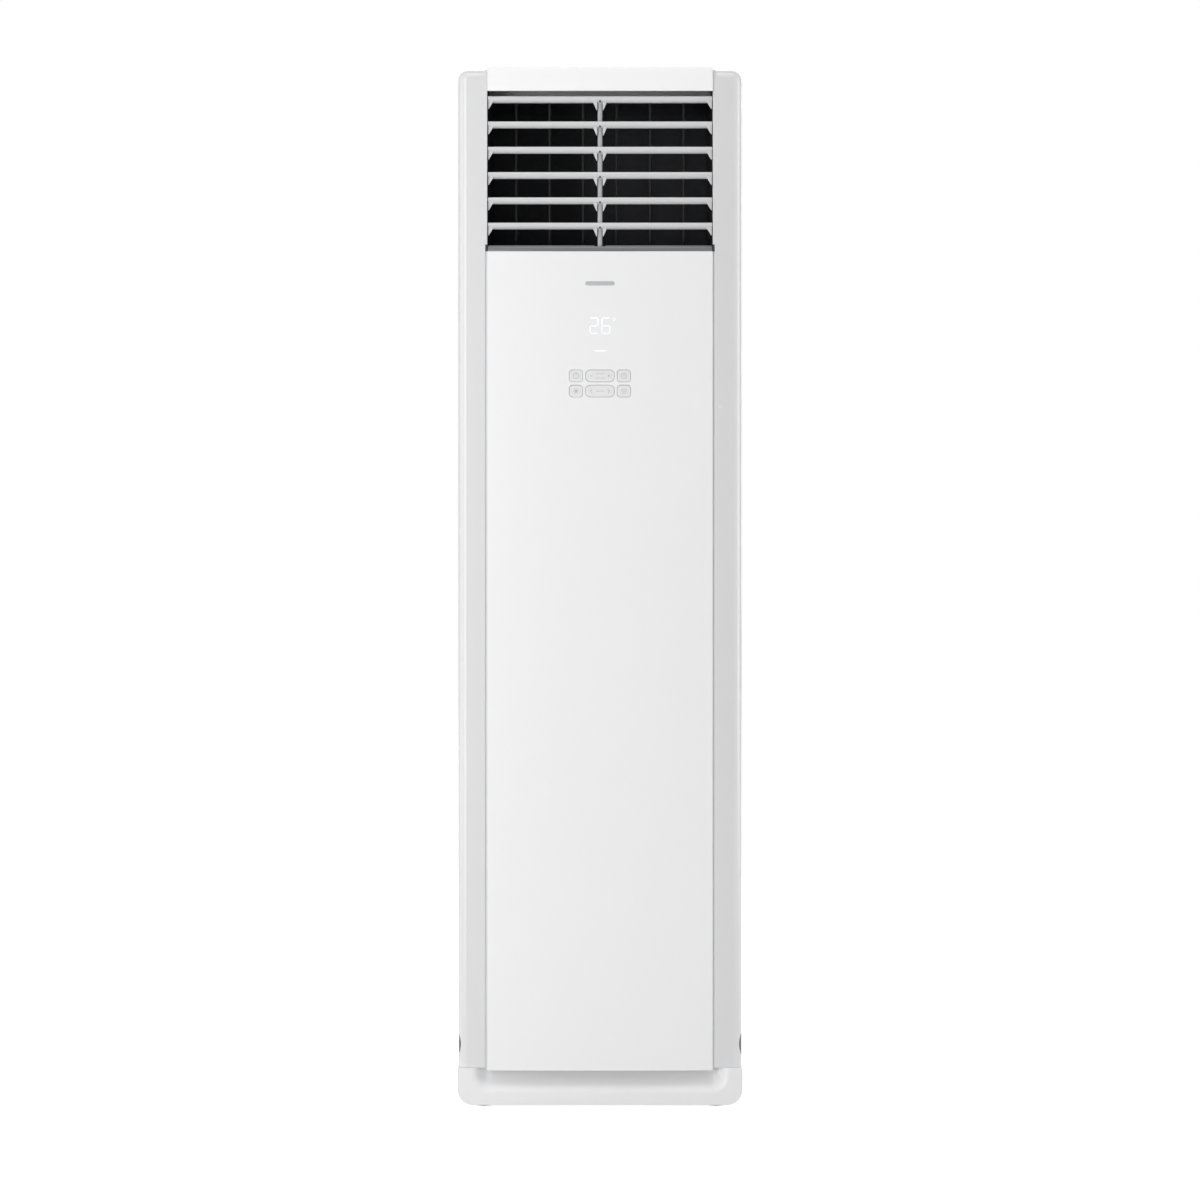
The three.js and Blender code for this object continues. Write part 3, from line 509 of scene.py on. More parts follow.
def cut_across(piece, axis, value, wanted=anything):
    """Divides the wanted faces where the coordinate along an axis has a value."""
    way = Vector([letter == axis for letter in "xyz"])
    select(piece, "FACE", wanted)
    bpy.ops.mesh.bisect(plane_co=way * value * MM, plane_no=way)
    done()


def press(piece, wanted, *steps):
    """Insets the wanted faces and moves them, once for each pair of a rim's width and a way to go."""
    select(piece, "FACE", wanted)
    for rim, way in steps:
        bpy.ops.mesh.inset(thickness=rim * MM)
        bpy.ops.transform.translate(value=Vector(way) * MM)
    done()
    return piece

# %% [markdown]
# Walls, booleans and the last soft edge are modifiers, applied at once, because each next step selects
# faces and edges of what the last one made.

# %% Modifiers
def apply_modifier(piece, kind, **settings):
    alone(piece)
    modifier = piece.modifiers.new(kind.lower(), kind)
    for name, value in settings.items():
        setattr(modifier, name, value)
    bpy.ops.object.modifier_apply(modifier=modifier.name)
    return piece


def wall(piece, thickness):
    """Gives an open shell its thickness, inwards."""
    apply_modifier(piece, "SOLIDIFY", thickness=thickness * MM, offset=-1, use_even_offset=True)


def soften(piece, width, segments=2, angle=35):
    """Rounds every sharp edge that is left."""
    return apply_modifier(
        piece, "BEVEL", width=width * MM, segments=segments, limit_method="ANGLE",
        angle_limit=math.radians(angle), use_clamp_overlap=True, miter_outer="MITER_ARC")


def carve(piece, tool, operation="DIFFERENCE"):
    """Cuts a tool's shape out of a piece, and removes the tool."""
    apply_modifier(piece, "BOOLEAN", object=tool, operation=operation, solver="EXACT")
    bpy.data.objects.remove(tool)
    return piece


def fuse(piece, tool):
    return carve(piece, tool, "UNION")


def drill(piece, axis, radius, length, centre, sides=24):
    return carve(piece, rod("drill", axis, radius, length, centre, sides))

# %% [markdown]
# What repeats is copied, each copy with a mesh of its own, and shells that only touch are joined without
# fusing them. A finished piece either stands for its node, which then hides, or is fitted on it, and from
# then on it moves with the node's body.

# %% Copies and hand-over
def gather(name, pieces):
    """Joins separate shells into one piece."""
    bpy.ops.object.select_all(action="DESELECT")
    for piece in pieces:
        piece.select_set(True)
    bpy.context.view_layer.objects.active = pieces[0]
    bpy.ops.object.join()
    pieces[0].name = pieces[0].data.name = name
    return pieces[0]


def copy_of(piece, name, offset=(0, 0, 0)):
    """A copy with its own mesh, moved in its mesh."""
    copy = piece.copy()
    copy.data = piece.data.copy()
    copy.name = copy.data.name = name
    bpy.context.scene.collection.objects.link(copy)
    copy.data.transform(Matrix.Translation(Vector(offset) * MM))
    return copy


def with_copies(piece, offsets):
    """A piece and its copies at some offsets in x and z."""
    return [piece] + [copy_of(piece, piece.name, (x, 0, z)) for x, z in offsets]


def fit_on(piece, node, finish, slot=None, takes_place=False):
    """Shades a piece, gives it its finish, and lets it move with its node's body."""
    alone(piece)
    bpy.ops.object.shade_smooth_by_angle(angle=math.radians(32))
    if takes_place:
        apply_modifier(piece, "WEIGHTED_NORMAL", keep_sharp=True)
    piece.data.materials.clear()
    piece.data.materials.append(finish)
    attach(piece, body_of[node])
    if takes_place:
        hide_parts(node)
    print(piece.name, "faces:", len(piece.data.polygons))


def stand_for(piece, node, finish):
    """Fits a piece on its node and lets it take the node's place."""
    fit_on(piece, node, finish, takes_place=True)


def fit_row(piece, members, suffix, finish, fit=stand_for):
    """Fits a piece on the first node of a row of like nodes, and a copy of it on every other."""
    first_low = box_mm(members[0])[0]
    for node in members[1:]:
        fit(copy_of(piece, node + suffix, box_mm(node)[0] - first_low), node, finish)
    fit(piece, members[0], finish)

# %% [markdown]
# ## Front panel
# The panel is one large moulding with returned edges, bowed back towards both sides so that it doesn't look
# hollow, and its upper edge sags in a shallow arc. The middle stays flat, because holes cut in a flat face
# keep their shading clean. A box loses its back, and its front is divided into columns. Below the upper
# strip the middle columns are dissolved into one face, and each one outside it is pushed back a little
# further.

# %% Front panel
panel_low, panel_high = box_mm("front_panel")
PANEL_COLUMNS = 40
PANEL_BOW = 4.0
PANEL_SAG = 0.6
PANEL_WALL = 3.0
PANEL_FLAT = 12 * panel_high.x / PANEL_COLUMNS
STRIP_Z = panel_high.z - 30


def bow(x):
    """How far the panel's face lies back at x, in mm."""
    return PANEL_BOW * max(0, (x - PANEL_FLAT) / (panel_high.x - PANEL_FLAT)) ** 2


front_panel = block("front_panel_shell", panel_low, panel_high)
drop_faces(front_panel, lambda place, normal: normal.y > 0.5 or abs(normal.z) > 0.5)
select(front_panel, "EDGE", along("x", lambda place: near(place.y, panel_low.y)))
bpy.ops.mesh.subdivide(number_cuts=PANEL_COLUMNS - 1)
done()
cut_across(front_panel, "z", STRIP_Z)
select(front_panel, "EDGE", along("z", lambda place: place.z < STRIP_Z and near(place.y, panel_low.y) and
                                  abs(place.x) < PANEL_FLAT - 1))
bpy.ops.mesh.dissolve_edges(use_verts=False)
done()
for column in range(PANEL_COLUMNS // 2 + 1):
    x = panel_high.x * 2 * column / PANEL_COLUMNS
    sag = PANEL_SAG * (1 - (x / panel_high.x) ** 2)
    shift_points(front_panel, lambda place, normal: near(abs(place.x), x) and place.z > panel_high.z - 1 and
                 place.y < panel_low.y + PANEL_BOW, (0, 0, -sag))
    shift_points(front_panel, lambda place, normal: near(abs(place.x), x) and near(place.y, panel_low.y),
                 (0, bow(x), 0))
wall(front_panel, PANEL_WALL)
print("panel's bow at its sides, mm:", bow(panel_high.x), "faces:", len(front_panel.data.polygons))

# %% [markdown]
# ## Openings in the panel
# Each key shows through its own hole, 0.6 mm larger all round than the cap, cut by a rounded block. The CAD
# key is wider behind the panel, where a flange keeps it in, so the cap is the node less that flange. Above
# the display a slim badge sits in a shallow pocket: here a plain bar in grey lacquer, without any mark.

# %% Key holes and badge bar
KEY_FLANGE = 1.8
KEY_GAP = 0.6
BADGE_LOW, BADGE_HIGH = Vector((-24.5, 0, 1382.8)), Vector((24.5, 0, 1389.2))
BADGE_ROUND = 3.1
key_nodes = [node for node in nodes if "key" in node]


def plaque(name, lowest, highest, grow, front, back, corner):
    """A block with round corners in the plane of the panel, grown all round."""
    piece = block(name, (lowest.x - grow, front, lowest.z - grow), (highest.x + grow, back, highest.z + grow))
    return round_edges(piece, corner, 6, along("y"))


def key_block(name, node, grow, front, back):
    """A plaque of a key's outline, with the corners that its width asks for."""
    key_low, key_high = box_mm(node)
    corner = 8 if key_high.x - key_low.x > 40 else 5
    return plaque(name, key_low, key_high, grow - KEY_FLANGE, front, back, corner + grow)


for node in key_nodes:
    carve(front_panel, key_block("key_hole_tool", node, KEY_GAP, panel_low.y - 3, panel_low.y + 8))
carve(front_panel, plaque("badge_pocket_tool", BADGE_LOW, BADGE_HIGH, 0.3, panel_low.y - 2, panel_low.y + 0.8,
                          BADGE_ROUND + 0.3))
soften(front_panel, 0.9, 3)
stand_for(front_panel, "front_panel", panel_abs)
badge = plaque("badge_bar", BADGE_LOW, BADGE_HIGH, 0, panel_low.y + 0.05, panel_low.y + 0.7, BADGE_ROUND)
fit_on(soften(badge, 0.25), "front_panel", badge_grey)

# %% [markdown]
# ## Keys
# A key is a thin moulded cap with a soft edge on a wider flange. The cap is a rounded block whose front
# face is inset and pushed in by 0.3 mm, so that a finger finds its middle.

# %% Key caps
for node in key_nodes:
    front = box_mm(node)[0].y
    cap = key_block(node + "_cap", node, 0, front, front + 3.9)
    soften(press(cap, forwards, (1.4, (0, 0.3, 0))), 0.45, 3)
    fuse(cap, key_block("flange", node, KEY_FLANGE, front + 3.6, front + 4.8))
    stand_for(cap, node, key_abs)

# %% [markdown]
# ## Marks on the keys
# The marks are pad printed in grey ink: plus and minus on the upper long key, two arrows on the lower one,
# simple signs on the small ones. Each is a few thin bars or rings, laid 0.06 mm proud of its cap, as a
# thick ink film would be, and moves with the key.

# %% Printed marks
INK_FILM = 0.06
REACH = 15
MARKS = {  # bars: place across and up from the key's middle, width, height, turn in degrees
    "rocker_key_1": [(-REACH, 0, 5, 1), (REACH, 0, 5, 1), (REACH, 0, 1, 5),
                     (0, 3.6, 16, 0.9), (0, -3.6, 16, 0.9)],
    "rocker_key_2": [(side * REACH, tip * 1.5, 4.6, 1, -side * tip * 40)
                     for side in (-1, 1) for tip in (-1, 1)] + [(0, 0, 14, 0.9)],
    "key_left_1": [(0, 4, 1, 5)],
    "key_right_1": [(0, 1.6, 0.9, 3.4), (1.2, 0, 3, 0.9)],
    "key_left_2": [(0, 0, 10, 1, turn) for turn in (0, 60, 120)],
    "key_right_2": [(0, row, 9, 1) for row in (-3.2, 0, 3.2)]}
RINGED = ("key_left_1", "key_right_1")


def bar(centre, width, height, turn=0.0):
    """A thin printed bar; centre is (x, y, z) in mm, turned in the plane of the panel."""
    x, y, z = centre
    piece = block("bar", (x - width / 2, y - INK_FILM, z - height / 2),
                  (x + width / 2, y + 0.1, z + height / 2))
    if turn:
        select(piece, "FACE", anything)
        bpy.ops.transform.rotate(
            value=math.radians(turn), orient_axis="Y", center_override=Vector(centre) * MM)
        done()
    return piece


def ring(centre, radius, stroke):
    """A thin printed ring: a disc with its middle cut out."""
    x, y, z = centre
    disc = rod("ring", "Y", radius, INK_FILM + 0.1, (x, y + 0.02, z), 32)
    return drill(disc, "Y", radius - stroke, 2, centre, 32)


for node in key_nodes:
    middle = middle_mm(node)
    x, y, z = middle.x, box_mm(node)[0].y + 0.3, middle.z
    marks = [ring((x, y, z), 5, 1)] if node in RINGED else []
    marks += [bar((x + across, y, z + up), *size) for across, up, *size in MARKS[node]]
    fit_on(gather(node + "_mark", marks), node, ink)
print("marked keys:", len(key_nodes))

# %% [markdown]
# ## Hidden display
# Behind the panel a lamp board shines through the thin white plastic, so the figures show only as a faint,
# cool glow. Seven-segment bars are blocks with pointed ends. They sit a hair in front of the panel, because
# the real light has no depth.

# %% Display digits
glow, tree, shader, place = start_finish("Light through white ABS", "#FBFCFF", 0.3)
feed(shader, {"Emission Color": linear("#F4F8FF"), "Emission Strength": 0.12})
flicker = add_node(tree, "TexNoise", {"Vector": place, "Scale": per_mm(5)})
vary(shader, (flicker, "#F6F8FC", "#FFFFFF"))

DIGIT_W = 13.0
DIGIT_H = 26.0
PLACES = {"a": (0, 1, False), "b": (1, 0.5, True), "c": (1, -0.5, True), "d": (0, -1, False),
          "e": (-1, -0.5, True), "f": (-1, 0.5, True), "g": (0, 0, False)}
display_low, display_high = box_mm("display_board")
display_z = (display_high.z * 3 + display_low.z) / 4 + 9
lamp_y = panel_low.y - 0.02


def digit(lit_bars, x_digit):
    """The lit bars of one figure; bars are lettered a to g as on any seven-segment lamp."""
    pieces = []
    for across, up, upright in (PLACES[letter] for letter in lit_bars):
        x, z = x_digit + across * DIGIT_W / 2, display_z + up * DIGIT_H / 2
        long = (DIGIT_H / 2 if upright else DIGIT_W) / 2 - 0.6
        half_x, half_z = (1.0, long) if upright else (long, 1.0)
        piece = block("segment", (x - half_x, lamp_y, z - half_z), (x + half_x, lamp_y + 0.5, z + half_z))
        pieces.append(round_edges(piece, 0.9, 1, along("y")))
    return pieces


lit = digit("abged", -10) + digit("acdefg", 10)
lit.append(ring((23.5, lamp_y, display_z + 11), 2.6, 0.9))
lit.append(bar((0, lamp_y, display_z - 42), 18, 2.2))
fit_on(gather("display_digits", lit), "display_board", glow)
print("display at z", round(display_z))

# %% [markdown]
# ## Corner trims
# The two silver strips hide the joint between front and sides. Each turns round the corner in a soft curve
# and over its upper end too, so the highlight runs on without a break, and its face leans back towards the
# side. The outline's upper corner is rounded first, then the front rim in one go. A thin lip on the inner
# edge runs behind the panel and closes the gap. Near the floor a large cylinder scoops the outer edge at
# the grip, and a black block behind the scoop paints the shade of the grip's recess.

# %% Corner trims
TRIM_OUTER = 239.0
TRIM_INNER = 193.0
TRIM_CORNER = 16
TRIM_ROUND = 15
TRIM_LEAN = 4.5
LIP = 3.2
LIP_BACK = -122
SCOOP_Z = 106.0
SCOOP_HALF = 21.0
SCOOP_DEPTH = 4.4
SCOOP_RADIUS = (SCOOP_HALF ** 2 + SCOOP_DEPTH ** 2) / (2 * SCOOP_DEPTH)
LID_BOTTOM = 1722.3
LID_TOP = 1746.5

for side, word in ((-1, "left"), (1, "right")):
    low_trim, high_trim = box_mm(word + "_corner_trim")
    front = low_trim.y
    outer = TRIM_OUTER * side
    inner = TRIM_INNER * side
    trim = block(word + "_corner_trim_bar", low_trim, high_trim)
    shift_points(trim, at(x=outer, y=front), (0, TRIM_LEAN, 0))
    round_edges(trim, TRIM_CORNER, 10, along(
        "y", lambda place: near(place.x, outer) and place.z > high_trim.z - 1))
    round_edges(trim, TRIM_ROUND, 8, lambda place, way: place.y < front + TRIM_LEAN + 0.5 and
                abs(place.x) > TRIM_INNER + 0.5 and place.z > low_trim.z + 1)
    round_edges(trim, 2, 4, at(x=inner, y=front))
    for lip_front, foot, head in ((front + 1.5, low_trim.z, panel_high.z),
                                  (front + 1, LID_BOTTOM - 0.1, high_trim.z - 1)):
        fuse(trim, block("lip", (inner - side * LIP, lip_front, foot), (inner + side, LIP_BACK, head)))
    scoop_x = outer + side * (SCOOP_RADIUS - SCOOP_DEPTH)
    drill(trim, "Y", SCOOP_RADIUS, 100, (scoop_x, front, SCOOP_Z), 160)
    stand_for(soften(trim, 0.5, 2, 50), word + "_corner_trim", silver_abs)
    # Painted shade: a black block behind the scoop stands for the shade in the grip's recess.
    grip_shade_y = high_trim.y + 0.5
    grip_shade_block = block(word + "_grip_liner", (side * 231, grip_shade_y, SCOOP_Z - 26),
                  (side * 237.6, grip_shade_y + 8, SCOOP_Z + 26))
    fit_on(soften(grip_shade_block, 1.2, 3), word + "_side_panel", black_pp, "black_plastic")

# %% [markdown]
# ## Top cover
# The cover is a shallow lid with a raised band, whose apron hangs down to the outlet. The lid's corners
# turn down in the same curve as the trims. The parts are blocks, fused, and the band's edges get a wide
# round.

# %% Top cover
LID_WALL = 3
cover_low, cover_high = box_mm("top_cover")
lid = block("top_cover_shell", (cover_low.x, -120, LID_BOTTOM), (cover_high.x, cover_high.y, LID_TOP))
round_edges(lid, TRIM_CORNER, 10, along("y", lambda place: place.z > LID_TOP - 1))
round_edges(lid, 5, 5, lambda place, way: near(place.y, cover_high.y) and place.z > LID_BOTTOM + 1)
hollow = block("lid_hollow", (cover_low.x + LID_WALL, -130, LID_BOTTOM - 5),
               (cover_high.x - LID_WALL, cover_high.y - LID_WALL, LID_TOP - LID_WALL))
round_edges(hollow, TRIM_CORNER - LID_WALL, 10, along("y", lambda place: place.z > LID_TOP - LID_WALL - 1))
carve(lid, hollow)
crown = block("crown", (panel_low.x, cover_low.y, LID_TOP - 4), (panel_high.x, cover_high.y, cover_high.z))
fuse(lid, round_edges(crown, 3, 5, lambda place, way: place.z > cover_high.z - 1))
fuse(lid, block("apron", (panel_low.x, cover_low.y, cover_low.z),
                (panel_high.x, cover_low.y + 3.5, LID_TOP - 2)))
stand_for(soften(lid, 0.6, 2, 50), "top_cover", white_abs)

# %% [markdown]
# ## Base plinth
# The base has large round corners, and under the panel a cove runs across the front, which makes the
# cabinet seem to float. A moulded cove fades out at its ends without an edge, so it isn't cut out: the
# front is divided into a grid, and its middle is pushed in with a soft falloff, by proportional editing.

# %% Base plinth
base_low, base_high = box_mm("base_plinth")
COVE_TOP = 52.0
COVE_HALF = 190
COVE_DEPTH = 18.5
COVE_FADE = 30.0
GRID = 3
plinth = block("base_plinth_shell", base_low, base_high)
round_edges(plinth, 26, 12, along("y", lambda place: place.z < base_low.z + 1))
round_edges(plinth, 14, 8, lambda place, way: abs(way.x) < 0.1 and abs(way.z) > 0.9 or
            near(place.y, base_low.y) and place.z < base_high.z - 20 and abs(way.y) < 0.1)
carve(plinth, block("tray_tool", (-206, -112, 12), (206, 150, base_high.z + 5)))
columns = [side * x for x in range(182, 226, GRID) for side in (-1, 1)]
rows = range(18, int(base_high.z), GRID)
for axis, value in [("x", x) for x in columns] + [("z", z) for z in rows]:
    cut_across(plinth, axis, value,
               lambda place, normal: forwards(place, normal) and near(place.y, base_low.y))
select(plinth, "VERT", lambda place, normal: near(place.y, base_low.y) and abs(place.x) < COVE_HALF and
       place.z > COVE_TOP)
bpy.ops.transform.translate(value=(0, COVE_DEPTH * MM, 0), use_proportional_edit=True,
                            proportional_edit_falloff="SMOOTH", proportional_size=COVE_FADE * MM)
done()
stand_for(plinth, "base_plinth", base_abs)
print("plinth's front, mm:", round(min(v.co.y for v in plinth.data.vertices) / MM, 2))

# %% [markdown]
# ## Feet
# The feet are rubber buttons. Each is a low cylinder with a round rim, whose sole is inset and pushed up by
# a millimetre, so only a ring touches the floor. One is modelled and three are copies.

# %% Feet
foot_nodes = [node for node in nodes if node.startswith("foot_")]
foot_low, foot_high = box_mm(foot_nodes[0])
foot = rod(foot_nodes[0] + "_pad", "Z", (foot_high.x - foot_low.x) / 2, foot_high.z - foot_low.z,
           middle_mm(foot_nodes[0]), 32)
press(foot, lambda place, normal: normal.z < -0.9, (4, (0, 0, 1)))
fit_row(soften(foot, 0.8, 3), foot_nodes, "_pad", foot_rubber)

# %% [markdown]
# ## Outlet sill, header and rims
# The outlet is a black frame, which stays as it is. Its lower lip is a grey moulding, darkened further to
# paint
# in the shade under the louvers: a bar whose front edge gets one large round, fused with a skirt behind the
# panel and notched for the link bar. The header is a strip under the roof that hides the vanes' ends, and two
# silver rims close the joints beside the trims.

# %% Outlet sill, header and rims
outlet_front = box_mm("outlet_frame")[0].y
SILL_TOP = 1451.5
SILL_HALF = 188.5
sill = block("outlet_sill", (-SILL_HALF, outlet_front - 0.3, 1440.7), (SILL_HALF, -140, SILL_TOP))
round_edges(sill, 9, 10, along("x", lambda place: place.y < -150 and place.z > SILL_TOP - 1))
fuse(sill, block("sill_skirt", (-186, outlet_front + 0.5, 1429), (186, outlet_front + 3.5, 1443)))
carve(sill, block("sill_notch", (-9, -150.5, 1430), (9, -130, 1460)))
fit_on(soften(sill, 0.4, 2, 50), "outlet_frame", sill_grey_painted_shade, "grey_plastic")
header = block("outlet_header", (-SILL_HALF, -94.5, 1706), (SILL_HALF, -91.5, 1722.5))
fit_on(soften(header, 0.8, 3), "outlet_frame", white_abs, "white_plastic")
rims = gather("outlet_rims", [
    block("outlet_rims", (side * 189.7, outlet_front - 0.4, 1452), (side * 193.4, outlet_front + 2, 1744))
    for side in (-1, 1)])
fit_on(soften(rims, 0.5), "outlet_frame", silver_abs, "grey_plastic")

# %% [markdown]
# ## Louvers
# A louver is a slim wing with a blunt nose, 20 mm high. It starts as a block. The back edge is pinched, a
# cut behind the nose gives the wing its step, and the nose's lower edge gets one wide bevel that leans
# under, so the light fades over it. A slot clears the link bar, two ears hold its pin, corner webs stiffen
# the ends, and a pin at each end turns in the frame. One louver is modelled, and the other five are copies.

# %% Louver
louver_nodes = [f"louver_{number}" for number in range(1, 7)]
louver_low, louver_high = box_mm("louver_1")
FRONT = louver_low.y
TOP = louver_high.z
NOSE = 20.0
NOSE_DEPTH = 20.5
NOSE_LEAN = 17
WING_THICK = 3.4
EDGE_THICK = 2.0
HALF_LENGTH = 188.7
LINK_DROP = 8.0
LOUVER_PIVOT = (-118.0, TOP - 5.0)
LINK_PIN = (-142.0, TOP - LINK_DROP)

blade = block("louver_blade", (-HALF_LENGTH, FRONT, TOP - NOSE), (HALF_LENGTH, louver_high.y, TOP))
cut_across(blade, "y", FRONT + NOSE_DEPTH)
for y, thick in ((FRONT + NOSE_DEPTH, WING_THICK), (louver_high.y, EDGE_THICK)):
    shift_points(blade, lambda place, normal: near(place.y, y) and place.z < TOP - 1, (0, 0, NOSE - thick))
round_edges(blade, NOSE_LEAN, 14, along("x", lambda place: near(place.y, FRONT) and place.z < TOP - 1), 0.38)
for y, radius, segments in ((FRONT, 1.6, 4), (louver_high.y, 0.7, 3)):
    round_edges(blade, radius, segments, along("x", lambda place: near(place.y, y)))
SLOT_HALF = 5.4
slot_front, slot_back = FRONT + 3.4, FRONT + 26
slot = block("link_slot", (-SLOT_HALF, slot_front, TOP - 10.5), (SLOT_HALF, slot_back, TOP + 2))
carve(blade, shift_points(slot, at(y=slot_front, z=TOP - 10.5), (0, 1.2, 0)))
carve(blade, block("link_slot", (-SLOT_HALF, slot_front, TOP - 24), (SLOT_HALF, slot_back, TOP - 10.4)))


def gusset(x_edge, x_tip, depth, front, back):
    """A triangular rib under the wing: full width at the top, pointed at its foot."""
    piece = block("gusset", (x_edge, front, TOP - depth), (x_tip, back, TOP - 2.5))
    shift_points(piece, at(x=x_tip, z=TOP - depth), ((x_edge - x_tip) * 0.86, 0, 0))
    shift_points(piece, at(x=x_tip, z=TOP - 2.5), (0, 0, -1))
    return soften(piece, 0.7, 3, 30)


louver_parts = [blade]
for side in (-1, 1):
    end = side * HALF_LENGTH
    plate = block("end_plate", (end, FRONT + 3, TOP - 11), (end - side * 2, -108, TOP - 0.8))
    end_pin = rod("end_pin", "X", 2.9, 3.6, (end + side * 1.3, *LOUVER_PIVOT), 20)
    louver_parts += [gusset(side * 4.6, side * 14.0, 22, FRONT + 4.0, -138),
                     gusset(end, end - side * 12, 21, FRONT + 2, FRONT + 6),
                     soften(plate, 0.5), soften(end_pin, 0.4)]
louver_parts.append(rod("link_pin", "X", 1.9, 11, (0, *LINK_PIN), 16))
fit_row(gather("louver_1_wing", louver_parts), louver_nodes, "_wing", louver_abs)

# %% [markdown]
# ## Link bar and rivets
# One slim bar joins all louvers, so that a single motor tilts them. It is a half round rod, thickened to a
# clip at each louver's pin, with a hole where the pin snaps in, and runs on behind the sill to the crank. A
# small dark rivet sits in the middle of each louver's nose.

# %% Link bar and rivets
bar_low, bar_high = box_mm("louver_link_bar")
LINK_HALF = 3.9
link = block("louver_link_rod", (-LINK_HALF, LINK_PIN[0] - 3, bar_low.z + 3),
             (LINK_HALF, bar_high.y, bar_high.z - 3))
round_edges(link, 3.0, 6, along("z", lambda place: place.y < LINK_PIN[0]))
for height in [box_mm(node)[1].z - LINK_DROP for node in louver_nodes] + [bar_low.z + 4.6]:
    pin_place = (0, LINK_PIN[0], height)
    fuse(link, rod("clip", "X", 4.5, 2 * bar_high.x - 0.1, pin_place, 28))
    drill(link, "X", 2.3, 14, pin_place, 20)
stand_for(soften(link, 0.35, 2, 40), "louver_link_bar", link_grey)
rivet = soften(rod("louver_1_rivet", "Y", 1.6, 4, (0, slot_front, LINK_PIN[1]), 20), 0.3)
fit_row(rivet, louver_nodes, "_rivet", black_pp, fit_on)

# %% [markdown]
# ## Vanes
# Six upright vanes steer the air to the left and right. A vane is a thin wing, round at its front edge and
# thinner at its back, on a spine that ends in two pivots. A lug at the foot carries the pin for the vanes'
# own link bar. One is modelled and five are copies.

# %% Vanes
vane_nodes = [f"vane_{number}" for number in range(1, 7)]
vane_low, vane_high = box_mm("vane_1")
vane_x, _, vane_z = middle_mm("vane_1")
VANE_PIVOT = -72.0
VANE_LINK = -54.0
wing = block("vane_wing", (vane_x - 1, vane_low.y, 1460.5), (vane_x + 1, vane_high.y, 1716))
for side in (-1, 1):
    shift_points(wing, at(x=vane_x + side, y=vane_high.y), (-0.5 * side, 0, 0))
round_edges(wing, 8, 6, along("x", lambda place: near(place.y, vane_low.y)))
round_edges(wing, 0.9, 4, along("z", lambda place: near(place.y, vane_low.y)))
spine = rod("vane_spine", "Z", 2.4, vane_high.z - vane_low.z - 0.5, (vane_x, VANE_PIVOT, vane_z), 20)
lug = block("vane_lug", (vane_x - 1.6, VANE_LINK - 4, 1460), (vane_x + 1.6, VANE_LINK + 4, 1468))
link_pin = rod("vane_link_pin", "Z", 1.9, 11, (vane_x, VANE_LINK, 1456.6), 16)
vane = gather("vane_1_wing", [wing] + [soften(piece, 0.4) for piece in (spine, lug, link_pin)])
fit_row(vane, vane_nodes, "_wing", black_pp)

# %% [markdown]
# ## Side panels
# The sides are steel sheet, bent round at the rear edge, with a window for the grille and a deep drawn grip
# near the floor. A bent box loses its inner face and gets its sheet thickness. The grip is a rounded block
# one sheet larger than the hand's room, fused on and then hollowed.

# %% Side panels
SIDES = ((-1, "left"), (1, "right"))
HALF_WIDTH = 240.0
BEND = 18
INTAKE = ((-112, 134), (146, 895))
GRIP = ((-45, 90), (55, 128))
GRIP_DEPTH = 23
SHEET = 2.0

for side, word in SIDES:
    low_side, high_side = box_mm(word + "_side_panel")
    outer = HALF_WIDTH * side
    floor_of_grip = outer - side * GRIP_DEPTH
    sheet = block(word + "_side_sheet", (outer, low_side.y, low_side.z),
                  (outer - side * BEND, high_side.y, high_side.z))
    round_edges(sheet, 4, 5, at(x=outer, y=high_side.y))
    drop_faces(sheet, lambda place, normal: normal.x * side < -0.5 or normal.y < -0.5 or abs(normal.z) > 0.5)
    wall(sheet, SHEET)
    cup = block("grip_cup", (floor_of_grip - side * SHEET, *[c - SHEET for c in GRIP[0]]),
                (outer - side * 0.5, *[c + SHEET for c in GRIP[1]]))
    fuse(sheet, round_edges(cup, 12, 6, along("x")))
    hollow = block("grip_hollow", (floor_of_grip, *GRIP[0]), (outer + side * 5, *GRIP[1]))
    round_edges(hollow, 10, 6, along("x"))
    round_edges(hollow, 6, 4, lambda place, way: near(place.x, floor_of_grip) and abs(way.x) < 0.1)
    carve(sheet, hollow)
    carve(sheet, block("window_tool", (outer - side * 10, *INTAKE[0]), (outer + side * 5, *INTAKE[1])))
    stand_for(soften(sheet, 0.6, 2, 50), word + "_side_panel", white_powder)

# %% [markdown]
# ## Intake grilles
# Each grille is a frame with two columns of sloping slats, which hide the filter and shed dust. One slat is
# a thin block leant over, repeated up the frame by an array. The frame is a plate with two openings, and
# the filter's rails on its back.

# %% Intake grilles
SLATS = 46
SLAT_LEAN = 7.0
BORDER = 12.0
FACE = 8.0
RAIL_DEPTH = 21.0
HOOK_DEPTH = 18.5
HALF_BAR = 4

